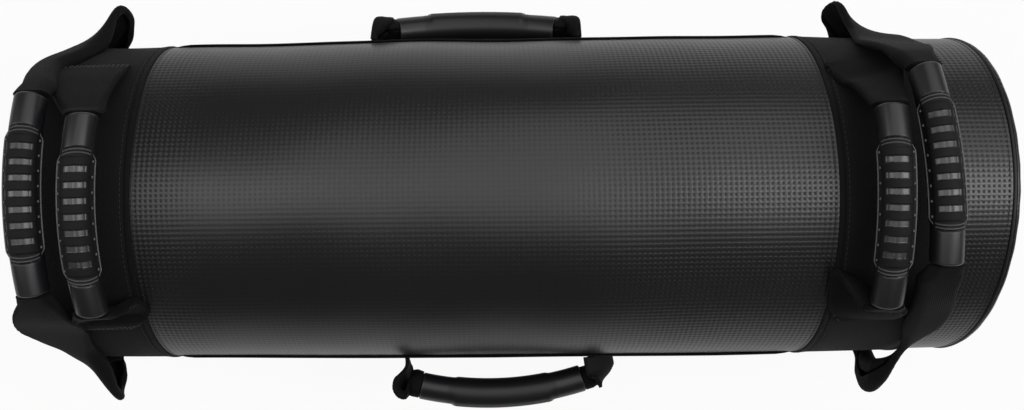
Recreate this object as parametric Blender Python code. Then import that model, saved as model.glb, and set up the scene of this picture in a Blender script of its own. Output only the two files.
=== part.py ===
"""Sandbag trainer: a filled cylindrical bag with six gripped webbing handles.

The bag lies along X on a flattened underside, with its left end at -X. The origin is on the
ground under the middle of the bag. Lengths are in metres, angles in degrees.
"""
import math

import bmesh
import bpy
from mathutils import Matrix, Vector

# Bag: the filled outer skin
BAG_LENGTH = 0.640
LEFT_RADIUS = 0.1130
WIDEST_RADIUS = 0.1168
RIGHT_RADIUS = 0.1150
WIDEST_X = 0.095
BASE_FLATTENING = 0.0070
BAG_SIDES = 36
BAG_STEPS = 5
BAND_STEPS = 4
SEAT_GAP = 0.0003
FILLER_GAP = 0.0007
WRAP_GAP = 0.0005

# Skin layers
BAND_THICKNESS = 0.0012
BAND_PROUD = 0.0006
SLEEVE_WALL = 0.0018
LINER_THICKNESS = 0.0060
END_PAD_THICKNESS = 0.0120

# Woven bands and their folded hems
LEFT_BAND_REACH = 0.072
RIGHT_BAND_INSET = 0.045
RIGHT_BAND_WIDTH = 0.072
HEM_WIDTH = 0.0035
HEM_PROUD = 0.0012

# End panels and piping
PANEL_THICKNESS = 0.0020
PANEL_ROUNDING = 0.0075
PIPING_DIAMETER = 0.0030
PIPING_PROUD = 0.0008

# Lengthwise side strips
STRIP_WIDTH = 0.050
STRIP_THICKNESS = 0.0012
STRIP_STEPS = 4

# Sand fillers inside
FILLER_COUNT = 3
FILLER_SHOULDER = 0.024
FILLER_NECK_RADIUS = 0.018
FILLER_NECK_LENGTH = 0.024
FILLER_NECK_FLARE = 0.005
FILLER_SIDES = BAG_SIDES // 2
TIE_THICKNESS = 0.0025
TIE_WIDTH = 0.012

# Webbing
WEBBING_WIDTH = 0.050
WEBBING_THICKNESS = 0.0024
SEWN_LENGTH = 0.042
CORE_WIDTH = 0.0100
CORE_THICKNESS = 0.0080
CORE_RUNOUT = 0.0015
EAR_REACH = 0.029
EAR_CURVE = 1.5
TAPER_SHIFT = 0.005

# Grips
GRIP_CHORD = 0.125
GRIP_SAGITTA = 0.0086
GRIP_STANDOFF = 0.0275
COLLAR_RADIUS = 0.0105
COLLAR_LENGTH = 0.0210
COLLAR_RING_WIDTH = 0.0040
RIB_COUNT = 8
RIB_SHARE = 0.56
RIB_SLOPE_SHARE = 0.08
RIB_HEIGHT = 0.0014
COLLAR_RING_SHARE = 0.5
GRIP_BORE_RADIUS = 0.0073
GRIP_SIDES = 10
BORE_STEPS = 6

# Handle places
LEFT_STRAP_INSET = 0.039
RIGHT_STRAP_INSET = 0.081
FRONT_SIDE_HANDLE_X = -0.011
BACK_SIDE_HANDLE_X = -0.026
INNER_ROOT_TURN = 57.0
OUTER_ROOT_TURN = 98.0
INNER_HINGE_TURN = 52.5
SIDE_ROOT_REACH = 0.0145

# Zip on the left end
ZIP_LENGTH = 0.180
ZIP_SLOT_HEIGHT = 0.012
ZIP_TAPE_MARGIN = 0.010
ZIP_TAPE_THICKNESS = 0.0008
ZIP_TEETH_HEIGHT = 0.0050
ZIP_TEETH_DEPTH = 0.0018
ZIP_STOP_LENGTH = 0.0026
SLIDER_LENGTH = 0.0110
SLIDER_HEIGHT = 0.0090
SLIDER_BASE = 0.0020
SLIDER_LUG_REACH = 0.0040
SLIDER_LUG_WIDTH = 0.0018
PULLER_THICKNESS = 0.0016
PULLER_LENGTH = 0.0270
PULLER_WIDTH = 0.0095
PULLER_TOP = 0.0015

# Worked-out places
LEFT_X = -BAG_LENGTH / 2
RIGHT_X = BAG_LENGTH / 2
BAND_EDGE_LEFT = LEFT_X + LEFT_BAND_REACH
BAND_EDGE_RIGHT = RIGHT_X - RIGHT_BAND_INSET - RIGHT_BAND_WIDTH
LEFT_STRAP_X = LEFT_X + LEFT_STRAP_INSET
RIGHT_STRAP_X = RIGHT_X - RIGHT_STRAP_INSET
AXIS_HEIGHT = LEFT_RADIUS - BASE_FLATTENING
UNDER_BAND = BAND_THICKNESS - BAND_PROUD + SEAT_GAP
SLEEVE_INSIDE = UNDER_BAND + SLEEVE_WALL
LINER_OUTSIDE = SLEEVE_INSIDE + SEAT_GAP
LINER_INSIDE = LINER_OUTSIDE + LINER_THICKNESS
FILLER_DEPTH = LINER_INSIDE + FILLER_GAP
PANEL_SEAM = PANEL_ROUNDING
SLEEVE_END = PANEL_SEAM + PIPING_DIAMETER + 2 * SEAT_GAP
STRIP_OUTSIDE = WRAP_GAP + STRIP_THICKNESS
WEBBING_OFFSET = BAND_PROUD + WRAP_GAP + WEBBING_THICKNESS / 2
SIDE_WEBBING_OFFSET = STRIP_OUTSIDE + WRAP_GAP + WEBBING_THICKNESS / 2
GRIP_ARC_RADIUS = ((GRIP_CHORD / 2) ** 2 + GRIP_SAGITTA ** 2) / (2 * GRIP_SAGITTA)
GRIP_HALF_ANGLE = math.asin(GRIP_CHORD / 2 / GRIP_ARC_RADIUS)

# Rows of a strap from its sewn seam to its grip: how far round, how far out, how wide, how slack
INNER_STRAP_SHARES = (
    (0.00, 0.00, 1.00, 0.0),
    (0.16, 0.03, 1.00, 0.0),
    (0.34, 0.22, 0.96, 0.0),
    (0.56, 0.46, 0.70, 0.0),
    (0.75, 0.70, 0.42, 0.0),
    (0.89, 0.89, 0.26, 0.0),
)
OUTER_STRAP_SHARES = (
    (0.00, 0.00, 1.00, 0.00),
    (0.08, 0.03, 1.00, 0.35),
    (0.17, 0.07, 1.00, 0.86),
    (0.27, 0.11, 1.00, 1.00),
    (0.45, 0.13, 1.00, 0.55),
    (0.63, 0.40, 0.96, 0.20),
    (0.72, 0.66, 0.84, 0.05),
    (0.80, 0.88, 0.64, 0.00),
    (0.89, 1.00, 0.40, 0.00),
    (0.95, 1.01, 0.27, 0.00),
)
SIDE_STRAP_SHARES = (
    (0.00, 0.00, 1.00),
    (0.04, 0.20, 1.00),
    (0.12, 0.56, 0.92),
    (0.06, 0.92, 0.70),
    (-0.32, 1.08, 0.46),
)
LATERAL_SHARES = (-1.0, -0.34, 0.34, 1.0)
SEWN_SHARES = (1.0, 0.75, 0.5, 0.25)
SIDE_SEWN_SHARES = (1.0, 0.5)

# Turn shares round a panel's rounded rim
RIM_SHARES = (0.0, 0.5, 1.0)

# A sand filler's body: how far along, and how deep into its shoulder
FILLER_SHARES = ((0.0, 1.0), (0.02, 0.35), (0.08, 0.0), (0.93, 0.0), (0.98, 1.0))


def finish(name, colour, roughness, metallic=0.0):
    """A plain surface finish."""
    material = bpy.data.materials.new(name)
    material.use_nodes = True
    surface = material.node_tree.nodes["Principled BSDF"]
    surface.inputs["Base Color"].default_value = (*colour, 1.0)
    surface.inputs["Roughness"].default_value = roughness
    surface.inputs["Metallic"].default_value = metallic
    return material


def leather(name):
    """Embossed black synthetic leather."""
    return finish(name, (0.022, 0.022, 0.024), 0.42)


def woven(name):
    """Black woven nylon."""
    return finish(name, (0.010, 0.010, 0.011), 0.85)


def moulded(name):
    """Dark moulded grip rubber."""
    return finish(name, (0.030, 0.030, 0.033), 0.38)


def sacking(name):
    """Plain cream filler cloth."""
    return finish(name, (0.55, 0.50, 0.40), 0.9)


def foam(name):
    """Grey padding foam."""
    return finish(name, (0.25, 0.25, 0.26), 0.95)


def metal(name):
    """Dark plated zip metal."""
    return finish(name, (0.12, 0.12, 0.13), 0.35, 1.0)


def smoothstep(share):
    """A soft ramp from 0 to 1."""
    share = min(max(share, 0.0), 1.0)
    return share * share * (3 - 2 * share)


def bag_radius(x):
    """Radius of the filled bag at x: widest at WIDEST_X, slimmer towards both ends."""
    if x < WIDEST_X:
        share = (x - WIDEST_X) / (LEFT_X - WIDEST_X)
        return WIDEST_RADIUS - (WIDEST_RADIUS - LEFT_RADIUS) * share ** 2
    share = (x - WIDEST_X) / (RIGHT_X - WIDEST_X)
    return WIDEST_RADIUS - (WIDEST_RADIUS - RIGHT_RADIUS) * share ** 2


def round_ring(x, radius, floor=0.0, sides=BAG_SIDES):
    """Points round the bag's axis at x, kept above a floor height."""
    points = []
    for step in range(sides):
        turn = math.tau * step / sides
        height = AXIS_HEIGHT + radius * math.cos(turn)
        points.append(Vector((x, radius * math.sin(turn), max(height, floor))))
    return points


def bag_ring(x, depth, sides=BAG_SIDES):
    """Points round the bag at a depth under its skin, flat where the bag lies."""
    return round_ring(x, bag_radius(x) - depth, max(depth, 0.0), sides)


def spread(start, end, steps):
    """Evenly spaced values from start to end."""
    return [start + (end - start) * step / steps for step in range(steps + 1)]


def add_object(name, bm, material, shade_angle=40.0):
    """A named object from a bmesh, with its faces pointing out."""
    bmesh.ops.recalc_face_normals(bm, faces=bm.faces)
    mesh = bpy.data.meshes.new(name)
    bm.to_mesh(mesh)
    bm.free()
    mesh.shade_smooth()
    mesh.set_sharp_from_angle(angle=math.radians(shade_angle))
    mesh.materials.append(material)
    piece = bpy.data.objects.new(name, mesh)
    bpy.context.scene.collection.objects.link(piece)
    return piece


def ring_solid(name, rings, material, closed):
    """A solid through rings of points: a closed tube wall, or a body capped at both ends.

    Each face is split the same way along X, so that nested layers bend alike.
    """
    bm = bmesh.new()
    loops = [[bm.verts.new(point) for point in ring] for ring in rings]
    pairs = list(zip(loops, loops[1:]))
    if closed:
        pairs.append((loops[-1], loops[0]))
    else:
        bm.faces.new(loops[0])
        bm.faces.new(loops[-1])
    for first, second in pairs:
        rising = first[0].co.x <= second[0].co.x
        for step in range(len(first)):
            after = (step + 1) % len(first)
            a, b, c, d = first[step], first[after], second[after], second[step]
            halves = ((a, b, c), (a, c, d)) if rising else ((a, b, d), (b, c, d))
            for corners in halves:
                bm.faces.new(corners)
    return add_object(name, bm, material)


def layer(name, material, start, end, outer_depth, inner_depth, steps):
    """A tube wall between two depths under the bag's skin."""
    places = spread(start, end, steps)
    rings = [bag_ring(x, outer_depth) for x in places]
    rings += [bag_ring(x, inner_depth) for x in reversed(places)]
    return ring_solid(name, rings, material, closed=True)


def box(name, low, high, material):
    """A plain block between two corners."""
    bm = bmesh.new()
    bmesh.ops.create_cube(bm, size=1.0)
    size = Vector(high) - Vector(low)
    middle = (Vector(high) + Vector(low)) / 2
    bmesh.ops.transform(bm, matrix=Matrix.LocRotScale(middle, None, size), verts=bm.verts)
    return add_object(name, bm, material)


def prism(name, outline, thickness_vector, material):
    """A flat outline of points, extruded along a vector."""
    bm = bmesh.new()
    face = bm.faces.new([bm.verts.new(point) for point in outline])
    pushed = bmesh.ops.extrude_face_region(bm, geom=[face])
    moved = [item for item in pushed["geom"] if isinstance(item, bmesh.types.BMVert)]
    bmesh.ops.translate(bm, verts=moved, vec=thickness_vector)
    return add_object(name, bm, material)


def outer_sleeve():
    """The leather tube: full size where it shows, stepped down under the two woven bands."""
    left_end, left_edge = LEFT_X + SLEEVE_END, BAND_EDGE_LEFT
    right_edge, end_edge = BAND_EDGE_RIGHT, BAND_EDGE_RIGHT + RIGHT_BAND_WIDTH
    zones = (
        (left_end, left_edge, UNDER_BAND, BAND_STEPS),
        (left_edge + SEAT_GAP, right_edge, 0, BAG_STEPS),
        (right_edge + SEAT_GAP, end_edge, UNDER_BAND, BAND_STEPS),
        (end_edge + SEAT_GAP, RIGHT_X - SLEEVE_END, 0, 1),
    )
    outer = []
    for start, end, depth, steps in zones:
        outer += [bag_ring(x, depth) for x in spread(start, end, steps)]
    inner = [bag_ring(x, SLEEVE_INSIDE) for x in spread(-left_end, left_end, BAG_STEPS)]
    return ring_solid("outer_sleeve", outer + inner, leather("sleeve_leather"), closed=True)


def bands():
    """Two woven bands let into the sleeve, each edge covered by a folded hem."""
    hem_step = HEM_WIDTH + SEAT_GAP
    left = (LEFT_X + SLEEVE_END, BAND_EDGE_LEFT - hem_step)
    right_end = BAND_EDGE_RIGHT + RIGHT_BAND_WIDTH
    right = (BAND_EDGE_RIGHT + SEAT_GAP + hem_step, right_end - hem_step)
    inside = BAND_THICKNESS - BAND_PROUD
    layer("left_band", woven("left_band_nylon"), *left, -BAND_PROUD, inside, BAND_STEPS)
    layer("right_band", woven("right_band_nylon"), *right, -BAND_PROUD, inside, BAND_STEPS)
    hems = (
        ("left_band_hem", BAND_EDGE_LEFT - HEM_WIDTH),
        ("right_band_inner_hem", BAND_EDGE_RIGHT + SEAT_GAP),
        ("right_band_outer_hem", right_end - HEM_WIDTH),
    )
    for name, start in hems:
        layer(name, woven(name + "_nylon"), start, start + HEM_WIDTH, -HEM_PROUD, inside, 1)


def side_strip(name, side):
    """A strip of webbing along one side of the bag, between the bands."""
    half_turn = STRIP_WIDTH / 2 / WIDEST_RADIUS
    places = spread(BAND_EDGE_LEFT + HEM_WIDTH, BAND_EDGE_RIGHT - HEM_WIDTH, BAND_STEPS)
    turns = spread(math.pi / 2 - half_turn, math.pi / 2 + half_turn, STRIP_STEPS)
    rings = []
    for x in places:
        ring = []
        for height, order in ((WRAP_GAP, turns), (STRIP_OUTSIDE, reversed(turns))):
            radius = bag_radius(x) + height
            for turn in order:
                y = side * radius * math.sin(turn)
                ring.append(Vector((x, y, AXIS_HEIGHT + radius * math.cos(turn))))
        rings.append(ring)
    return ring_solid(name, rings, woven(name + "_nylon"), closed=False)


def end_panel(name, side):
    """A leather end with a rounded rim, sewn in behind the piping."""
    end = RIGHT_X if side > 0 else LEFT_X
    rings = []
    for share in RIM_SHARES:
        turn = math.pi / 2 * share
        x = end - side * PANEL_ROUNDING * (1 - math.sin(turn))
        rings.append(bag_ring(x, PANEL_ROUNDING * (1 - math.cos(turn))))
    core = PANEL_ROUNDING - PANEL_THICKNESS
    inner = []
    for share in RIM_SHARES:
        turn = math.pi / 2 * share
        x = end - side * (PANEL_ROUNDING - core * math.sin(turn))
        inner.append(bag_ring(x, PANEL_THICKNESS + core * (1 - math.cos(turn))))
    centre = bag_radius(end) / 2
    rings.append(bag_ring(end, centre))
    inner.append(bag_ring(end - side * PANEL_THICKNESS, centre))
    rings = list(reversed(rings)) + inner
    return ring_solid(name, rings, leather(name + "_leather"), closed=False)


def piping(name, side):
    """The covered cord sewn into the seam between the sleeve and an end panel."""
    end = RIGHT_X if side > 0 else LEFT_X
    radius = PIPING_DIAMETER / 2
    middle = end - side * (PANEL_SEAM + SEAT_GAP + radius)
    rings = []
    for quarter in range(4):
        turn = math.tau * quarter / 4
        depth = radius - PIPING_PROUD - radius * math.cos(turn)
        rings.append(bag_ring(middle + radius * math.sin(turn), depth))
    return ring_solid(name, rings, woven(name + "_cord"), closed=True)


def zip_opening():
    """The slot through the left end panel, as a cutter."""
    half = Vector((PANEL_ROUNDING, ZIP_LENGTH / 2, ZIP_SLOT_HEIGHT / 2))
    middle = Vector((LEFT_X, 0, AXIS_HEIGHT))
    cutter = box("zip_opening", middle - half, middle + half, leather("zip_opening_guide"))
    cutter.hide_render = True
    cutter.display_type = "WIRE"
    return cutter


def zip_parts():
    """Tape with its row of teeth behind the slot, the slider with its puller, two stops."""
    tape_front = LEFT_X + PANEL_THICKNESS + SEAT_GAP
    teeth_front = tape_front - ZIP_TEETH_DEPTH
    teeth_end = ZIP_LENGTH / 2 - SEAT_GAP
    tape_end = ZIP_LENGTH / 2 + ZIP_TAPE_MARGIN
    half_tape = ZIP_SLOT_HEIGHT / 2 + ZIP_TAPE_MARGIN
    half_teeth = ZIP_TEETH_HEIGHT / 2
    back = tape_front + ZIP_TAPE_THICKNESS
    tape = box("zip_tape", (tape_front, -tape_end, AXIS_HEIGHT - half_tape),
               (back, tape_end, AXIS_HEIGHT + half_tape), woven("zip_tape_nylon"))
    middle_of_tape = (tape_front + back) / 2
    teeth = box("zip_teeth_row", (teeth_front, -teeth_end, AXIS_HEIGHT - half_teeth),
                (middle_of_tape, teeth_end, AXIS_HEIGHT + half_teeth), metal("zip_teeth_guide"))
    teeth.hide_render = True
    teeth.display_type = "WIRE"
    join = tape.modifiers.new("teeth", "BOOLEAN")
    join.operation = "UNION"
    join.object = teeth

    slider_back = teeth_front - SEAT_GAP
    base_front = slider_back - SLIDER_BASE
    lug_front = base_front - SLIDER_LUG_REACH
    stop_room = ZIP_STOP_LENGTH + SEAT_GAP
    rest_y = teeth_end - stop_room - SLIDER_LENGTH / 2
    half = SLIDER_LENGTH / 2
    lug = half - SLIDER_LUG_WIDTH
    outline = ((slider_back, -half), (slider_back, half), (lug_front, half), (lug_front, lug),
               (base_front, lug), (base_front, -lug), (lug_front, -lug), (lug_front, -half))
    bottom = AXIS_HEIGHT - SLIDER_HEIGHT / 2
    prism("zip_slider", [(x, rest_y + y, bottom) for x, y in outline],
          (0, 0, SLIDER_HEIGHT), metal("zip_slider_metal"))

    pin_x = (base_front + lug_front) / 2
    narrow = lug - SEAT_GAP
    wide = PULLER_WIDTH / 2
    shoulder = -SLIDER_HEIGHT / 2 - PULLER_TOP
    below = shoulder - (wide - narrow)
    tip = PULLER_TOP - PULLER_LENGTH
    outline = ((-narrow, PULLER_TOP), (narrow, PULLER_TOP), (narrow, shoulder), (wide, below),
               (wide, tip + narrow), (narrow, tip), (-narrow, tip), (-wide, tip + narrow),
               (-wide, below), (-narrow, shoulder))
    front = pin_x - PULLER_THICKNESS / 2
    prism("zip_puller", [(front, rest_y + y, AXIS_HEIGHT + z) for y, z in outline],
          (PULLER_THICKNESS, 0, 0), metal("zip_puller_metal"))

    for name, side in (("zip_closed_stop", 1), ("zip_open_stop", -1)):
        far = side * teeth_end
        near = side * (teeth_end - ZIP_STOP_LENGTH)
        low = (base_front, min(near, far), AXIS_HEIGHT - half_teeth)
        high = (slider_back, max(near, far), AXIS_HEIGHT + half_teeth)
        box(name, low, high, metal(name + "_metal"))


def insides():
    """Foam liner and end pads, and the row of tied sand fillers."""
    liner_start = LEFT_X + SLEEVE_END
    layer("foam_liner", foam("liner_foam"), liner_start, -liner_start,
          LINER_OUTSIDE, LINER_INSIDE, BAG_STEPS)
    behind_panel = PANEL_THICKNESS + SEAT_GAP
    behind_tape = behind_panel + ZIP_TAPE_THICKNESS + SEAT_GAP
    for name, side, inset in (("left_end_pad", -1, behind_tape), ("right_end_pad", 1, behind_panel)):
        rings = [bag_ring(side * (RIGHT_X - depth), FILLER_DEPTH)
                 for depth in (inset, inset + END_PAD_THICKNESS)]
        ring_solid(name, rings, foam(name + "_foam"), closed=False)
    start = LEFT_X + behind_tape + END_PAD_THICKNESS + SEAT_GAP
    pitch = -2 * start / FILLER_COUNT
    for number in range(FILLER_COUNT):
        filler(number + 1, start + pitch * number, pitch)


def filler(number, start, pitch):
    """One sand sack: a full body with rounded shoulders and a tied neck."""
    neck_top = start + pitch - SEAT_GAP
    shoulder = neck_top - FILLER_NECK_LENGTH
    rings = []
    for along, deep in FILLER_SHARES:
        x = start + (shoulder - start) * along
        radius = bag_radius(x) - FILLER_DEPTH - FILLER_SHOULDER * deep
        rings.append(round_ring(x, radius, FILLER_DEPTH, FILLER_SIDES))
    waist_end = shoulder + TIE_WIDTH + 2 * SEAT_GAP
    for x, radius in ((shoulder, FILLER_NECK_RADIUS), (waist_end, FILLER_NECK_RADIUS),
                      (neck_top, FILLER_NECK_RADIUS + FILLER_NECK_FLARE)):
        rings.append(round_ring(x, radius, 0.0, FILLER_SIDES))
    ring_solid(f"filler_bag_{number}", rings, sacking(f"filler_bag_{number}_cloth"), closed=False)
    inner = FILLER_NECK_RADIUS + SEAT_GAP
    outer = inner + TIE_THICKNESS
    edges = (shoulder + SEAT_GAP, shoulder + SEAT_GAP + TIE_WIDTH)
    tie = [round_ring(x, outer, 0.0, FILLER_SIDES) for x in edges]
    tie += [round_ring(x, inner, 0.0, FILLER_SIDES) for x in reversed(edges)]
    ring_solid(f"filler_tie_{number}", tie, woven(f"filler_tie_{number}_nylon"), closed=True)


def grip_arc(arc_share, mid_height):
    """Centre and outward direction on a grip's arc; arc_share runs from -1 to 1."""
    angle = GRIP_HALF_ANGLE * arc_share
    outward = Vector((math.sin(angle), math.cos(angle), 0))
    centre = Vector((0, mid_height - GRIP_ARC_RADIUS, 0)) + outward * GRIP_ARC_RADIUS
    return centre, outward


def grip_ring(arc_share, mid_height, radius, ribbed):
    """Points round a grip: ribs stand out on the side away from the bag."""
    centre, outward = grip_arc(arc_share, mid_height)
    across = Vector((0, 0, 1))
    ring = []
    for step in range(GRIP_SIDES):
        turn = math.tau * step / GRIP_SIDES
        raised = RIB_HEIGHT if ribbed and math.cos(turn) > 0 else 0
        reach = radius + raised
        ring.append(centre + (outward * math.cos(turn) + across * math.sin(turn)) * reach)
    return ring


def grip(name, mid_height, place):
    """A moulded banana-shaped grip with smooth collars, ribs on its back and a bore."""
    arc_length = 2 * GRIP_HALF_ANGLE * GRIP_ARC_RADIUS
    collar = 1 - 2 * COLLAR_LENGTH / arc_length
    ring_share = 2 * COLLAR_RING_WIDTH / arc_length
    ribbed_end = collar - ring_share
    pitch = 2 * ribbed_end / (RIB_COUNT - 1 + RIB_SHARE)
    slope = pitch * RIB_SLOPE_SHARE
    ring_middle = collar - ring_share / 2
    stations = [(-1.0, 0.0), (-collar, 0.0), (-ring_middle, COLLAR_RING_SHARE)]
    for number in range(RIB_COUNT):
        start = -ribbed_end + number * pitch
        stations += [(start + slope, 1.0), (start + pitch * RIB_SHARE - slope, 1.0)]
        if number < RIB_COUNT - 1:
            stations += [(start + pitch * RIB_SHARE, 0.0), (start + pitch, 0.0)]
    stations += [(ring_middle, COLLAR_RING_SHARE), (collar, 0.0), (1.0, 0.0)]
    rings = []
    for arc_share, rib in stations:
        ring = grip_ring(arc_share, mid_height, COLLAR_RADIUS, False)
        if rib:
            tall = grip_ring(arc_share, mid_height, COLLAR_RADIUS, True)
            ring = [low.lerp(high, rib) for low, high in zip(ring, tall)]
        rings.append(ring)
    bore = [grip_ring(share, mid_height, GRIP_BORE_RADIUS, False)
            for share in spread(1.0, -1.0, BORE_STEPS)]
    rings = [[place(point, 1.0) for point in ring] for ring in rings + bore]
    return ring_solid(name, rings, moulded(name + "_rubber"), closed=True)


def off_the_bag(point, seat, half):
    """The point, pushed straight out where a strap would otherwise sink into the bag."""
    spoke = Vector((0, point.y, point.z - AXIS_HEIGHT))
    least = bag_radius(point.x) + seat + half - WEBBING_THICKNESS / 2
    if spoke.length >= least:
        return point
    return Vector((point.x, 0, AXIS_HEIGHT)) + spoke.normalized() * least


def strap(name, rows, place, moving_share, seat):
    """A strip of webbing through rows of points, each row with its own thickness.

    A row is a list of points across the strip and half the strip's thickness there. The seat is
    the height of the webbing's middle over the bag's skin where it lies on the bag.
    """
    halves = [half for _, half in rows]
    grid = []
    for points, half in rows:
        placed = [place(point, moving_share(point)) for point in points]
        grid.append([off_the_bag(point, seat, half) for point in placed])
    faces_up, faces_down = [], []
    last_row, last_point = len(grid) - 1, len(grid[0]) - 1
    for i, points in enumerate(grid):
        up, down = [], []
        for j, point in enumerate(points):
            along = grid[min(i + 1, last_row)][j] - grid[max(i - 1, 0)][j]
            across = points[min(j + 1, last_point)] - points[max(j - 1, 0)]
            normal = along.cross(across).normalized()
            up.append(point + normal * halves[i])
            down.append(point - normal * halves[i])
        faces_up.append(up)
        faces_down.append(down)
    rings = [up + list(reversed(down)) for up, down in zip(faces_up, faces_down)]
    return ring_solid(name, rings, woven(name + "_nylon"), closed=False)


def core_rows(mid_height):
    """Rows of the folded webbing through a grip's bore, ending just outside it."""
    rows = []
    outside = 1 + CORE_RUNOUT / (GRIP_HALF_ANGLE * GRIP_ARC_RADIUS)
    for share in (outside, *spread(1.0, -1.0, BORE_STEPS), -outside):
        centre, _ = grip_arc(share, mid_height)
        points = [centre + Vector((0, 0, CORE_WIDTH / 2 * side)) for side in LATERAL_SHARES]
        rows.append((points, CORE_THICKNESS / 2))
    return rows


def mirrored(rows):
    """The same rows on the other end of a handle, in reverse order."""
    return [([Vector((-point.x, point.y, point.z)) for point in points], half)
            for points, half in reversed(rows)]


def half_thickness(width_share):
    """Webbing is one layer where it is wide and folded thicker towards the grip."""
    folded = 1 - (width_share - CORE_WIDTH / WEBBING_WIDTH) / (1 - CORE_WIDTH / WEBBING_WIDTH)
    return (WEBBING_THICKNESS + (CORE_THICKNESS - WEBBING_THICKNESS) * smoothstep(folded)) / 2


def cross_rows(strap_x, mid_height, root_turn, shares, slack_side, taper_side):
    """Rows of an across-the-bag strap, from its sewn tail to the grip's end.

    The strap stands slack on one side, and its taper leans to one side.
    """
    centre, _ = grip_arc(1.0, mid_height)
    end_turn = math.atan2(centre.x, centre.y)
    end_rise = centre.length - bag_radius(strap_x) - WEBBING_OFFSET
    root = math.radians(root_turn)

    def row(turn, rise, width_share, slack):
        points = []
        for side in LATERAL_SHARES:
            shift = TAPER_SHIFT * taper_side * 4 * width_share * (1 - width_share)
            across = WEBBING_WIDTH / 2 * width_share * side + shift
            loose = ((1 + side * slack_side) / 2) ** EAR_CURVE * slack * EAR_REACH
            radius = bag_radius(strap_x + across) + WEBBING_OFFSET + rise + loose
            points.append(Vector((radius * math.sin(turn), radius * math.cos(turn), across)))
        return points, half_thickness(width_share)

    sewn_turn = SEWN_LENGTH / bag_radius(strap_x)
    rows = [row(root + sewn_turn * share, 0, 1.0, 0) for share in SEWN_SHARES]
    for turn_share, rise_share, width_share, slack in shares:
        turn = root + (end_turn - root) * turn_share
        rows.append(row(turn, end_rise * rise_share, width_share, slack))
    return rows


def cross_handle(name, strap_x, root_turn, hinge_height, shares, lean, roll, yaw, sides):
    """A handle across the bag, swinging about an axis along Y at the sewn roots.

    Lean tips it towards +X, roll carries it round the bag towards +Y, and yaw turns its +Y end
    towards +X.
    """
    mid_height = bag_radius(strap_x) + GRIP_STANDOFF
    end_height = grip_arc(1.0, mid_height)[0].y

    def place(point, share):
        turned = Matrix.Rotation(-math.radians(yaw) * share, 3, "Y") @ point
        rolled = Matrix.Rotation(-math.radians(roll) * share, 3, "Z") @ turned
        hinge = Vector((0, hinge_height, 0))
        leaned = Matrix.Rotation(math.radians(lean) * share, 3, "X") @ (rolled - hinge) + hinge
        return Vector((strap_x + leaned.z, leaned.x, AXIS_HEIGHT + leaned.y))

    def moving_share(point):
        return smoothstep((point.y - hinge_height) / (end_height - hinge_height))

    grip(name + "_grip", mid_height, place)
    rows = cross_rows(strap_x, mid_height, root_turn, shares, *sides)
    rows = rows + core_rows(mid_height) + mirrored(rows)
    strap(name + "_webbing", rows, place, moving_share, WEBBING_OFFSET)


def side_rows(handle_x, side, mid_height, end):
    """Rows of one end of a side handle's strap, from its sewn tail to the grip's end."""
    centre, _ = grip_arc(1.0, mid_height)
    root_reach = centre.x + SIDE_ROOT_REACH

    def row(reach, rise_share, width_share):
        seat = bag_radius(handle_x + side * end * reach) + SIDE_WEBBING_OFFSET
        rise = (centre.y - seat) * rise_share
        points = []
        for lateral in LATERAL_SHARES:
            across = WEBBING_WIDTH / 2 * width_share * lateral
            points.append(Vector((end * reach, math.sqrt(seat ** 2 - across ** 2) + rise, across)))
        return points, half_thickness(width_share)

    rows = [row(root_reach + SEWN_LENGTH * share, 0, 1.0) for share in SIDE_SEWN_SHARES]
    for reach_share, rise_share, width_share in SIDE_STRAP_SHARES:
        rows.append(row(root_reach + SIDE_ROOT_REACH * reach_share, rise_share, width_share))
    return rows


def side_handle(name, handle_x, side, swing, tilt):
    """A handle along one side of the bag, swinging about an axis along X at the strip."""
    hinge_height = bag_radius(handle_x) + STRIP_OUTSIDE
    free_height = hinge_height + 2 * WEBBING_OFFSET
    mid_height = hinge_height + GRIP_STANDOFF
    end_height = grip_arc(1.0, mid_height)[0].y

    def place(point, share):
        middle = Vector((0, mid_height, 0))
        tilted = Matrix.Rotation(math.radians(tilt) * share, 3, "Z") @ (point - middle) + middle
        hinge = Vector((0, hinge_height, 0))
        swung = Matrix.Rotation(math.radians(swing) * share, 3, "X") @ (tilted - hinge) + hinge
        return Vector((handle_x + side * swung.x, side * swung.y, AXIS_HEIGHT + swung.z))

    def moving_share(point):
        return smoothstep((point.y - free_height) / (end_height - free_height))

    grip(name + "_grip", mid_height, place)
    far_rows = side_rows(handle_x, side, mid_height, -1)
    rows = side_rows(handle_x, side, mid_height, 1) + core_rows(mid_height) + far_rows[::-1]
    strap(name + "_webbing", rows, place, moving_share, SIDE_WEBBING_OFFSET)


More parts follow.
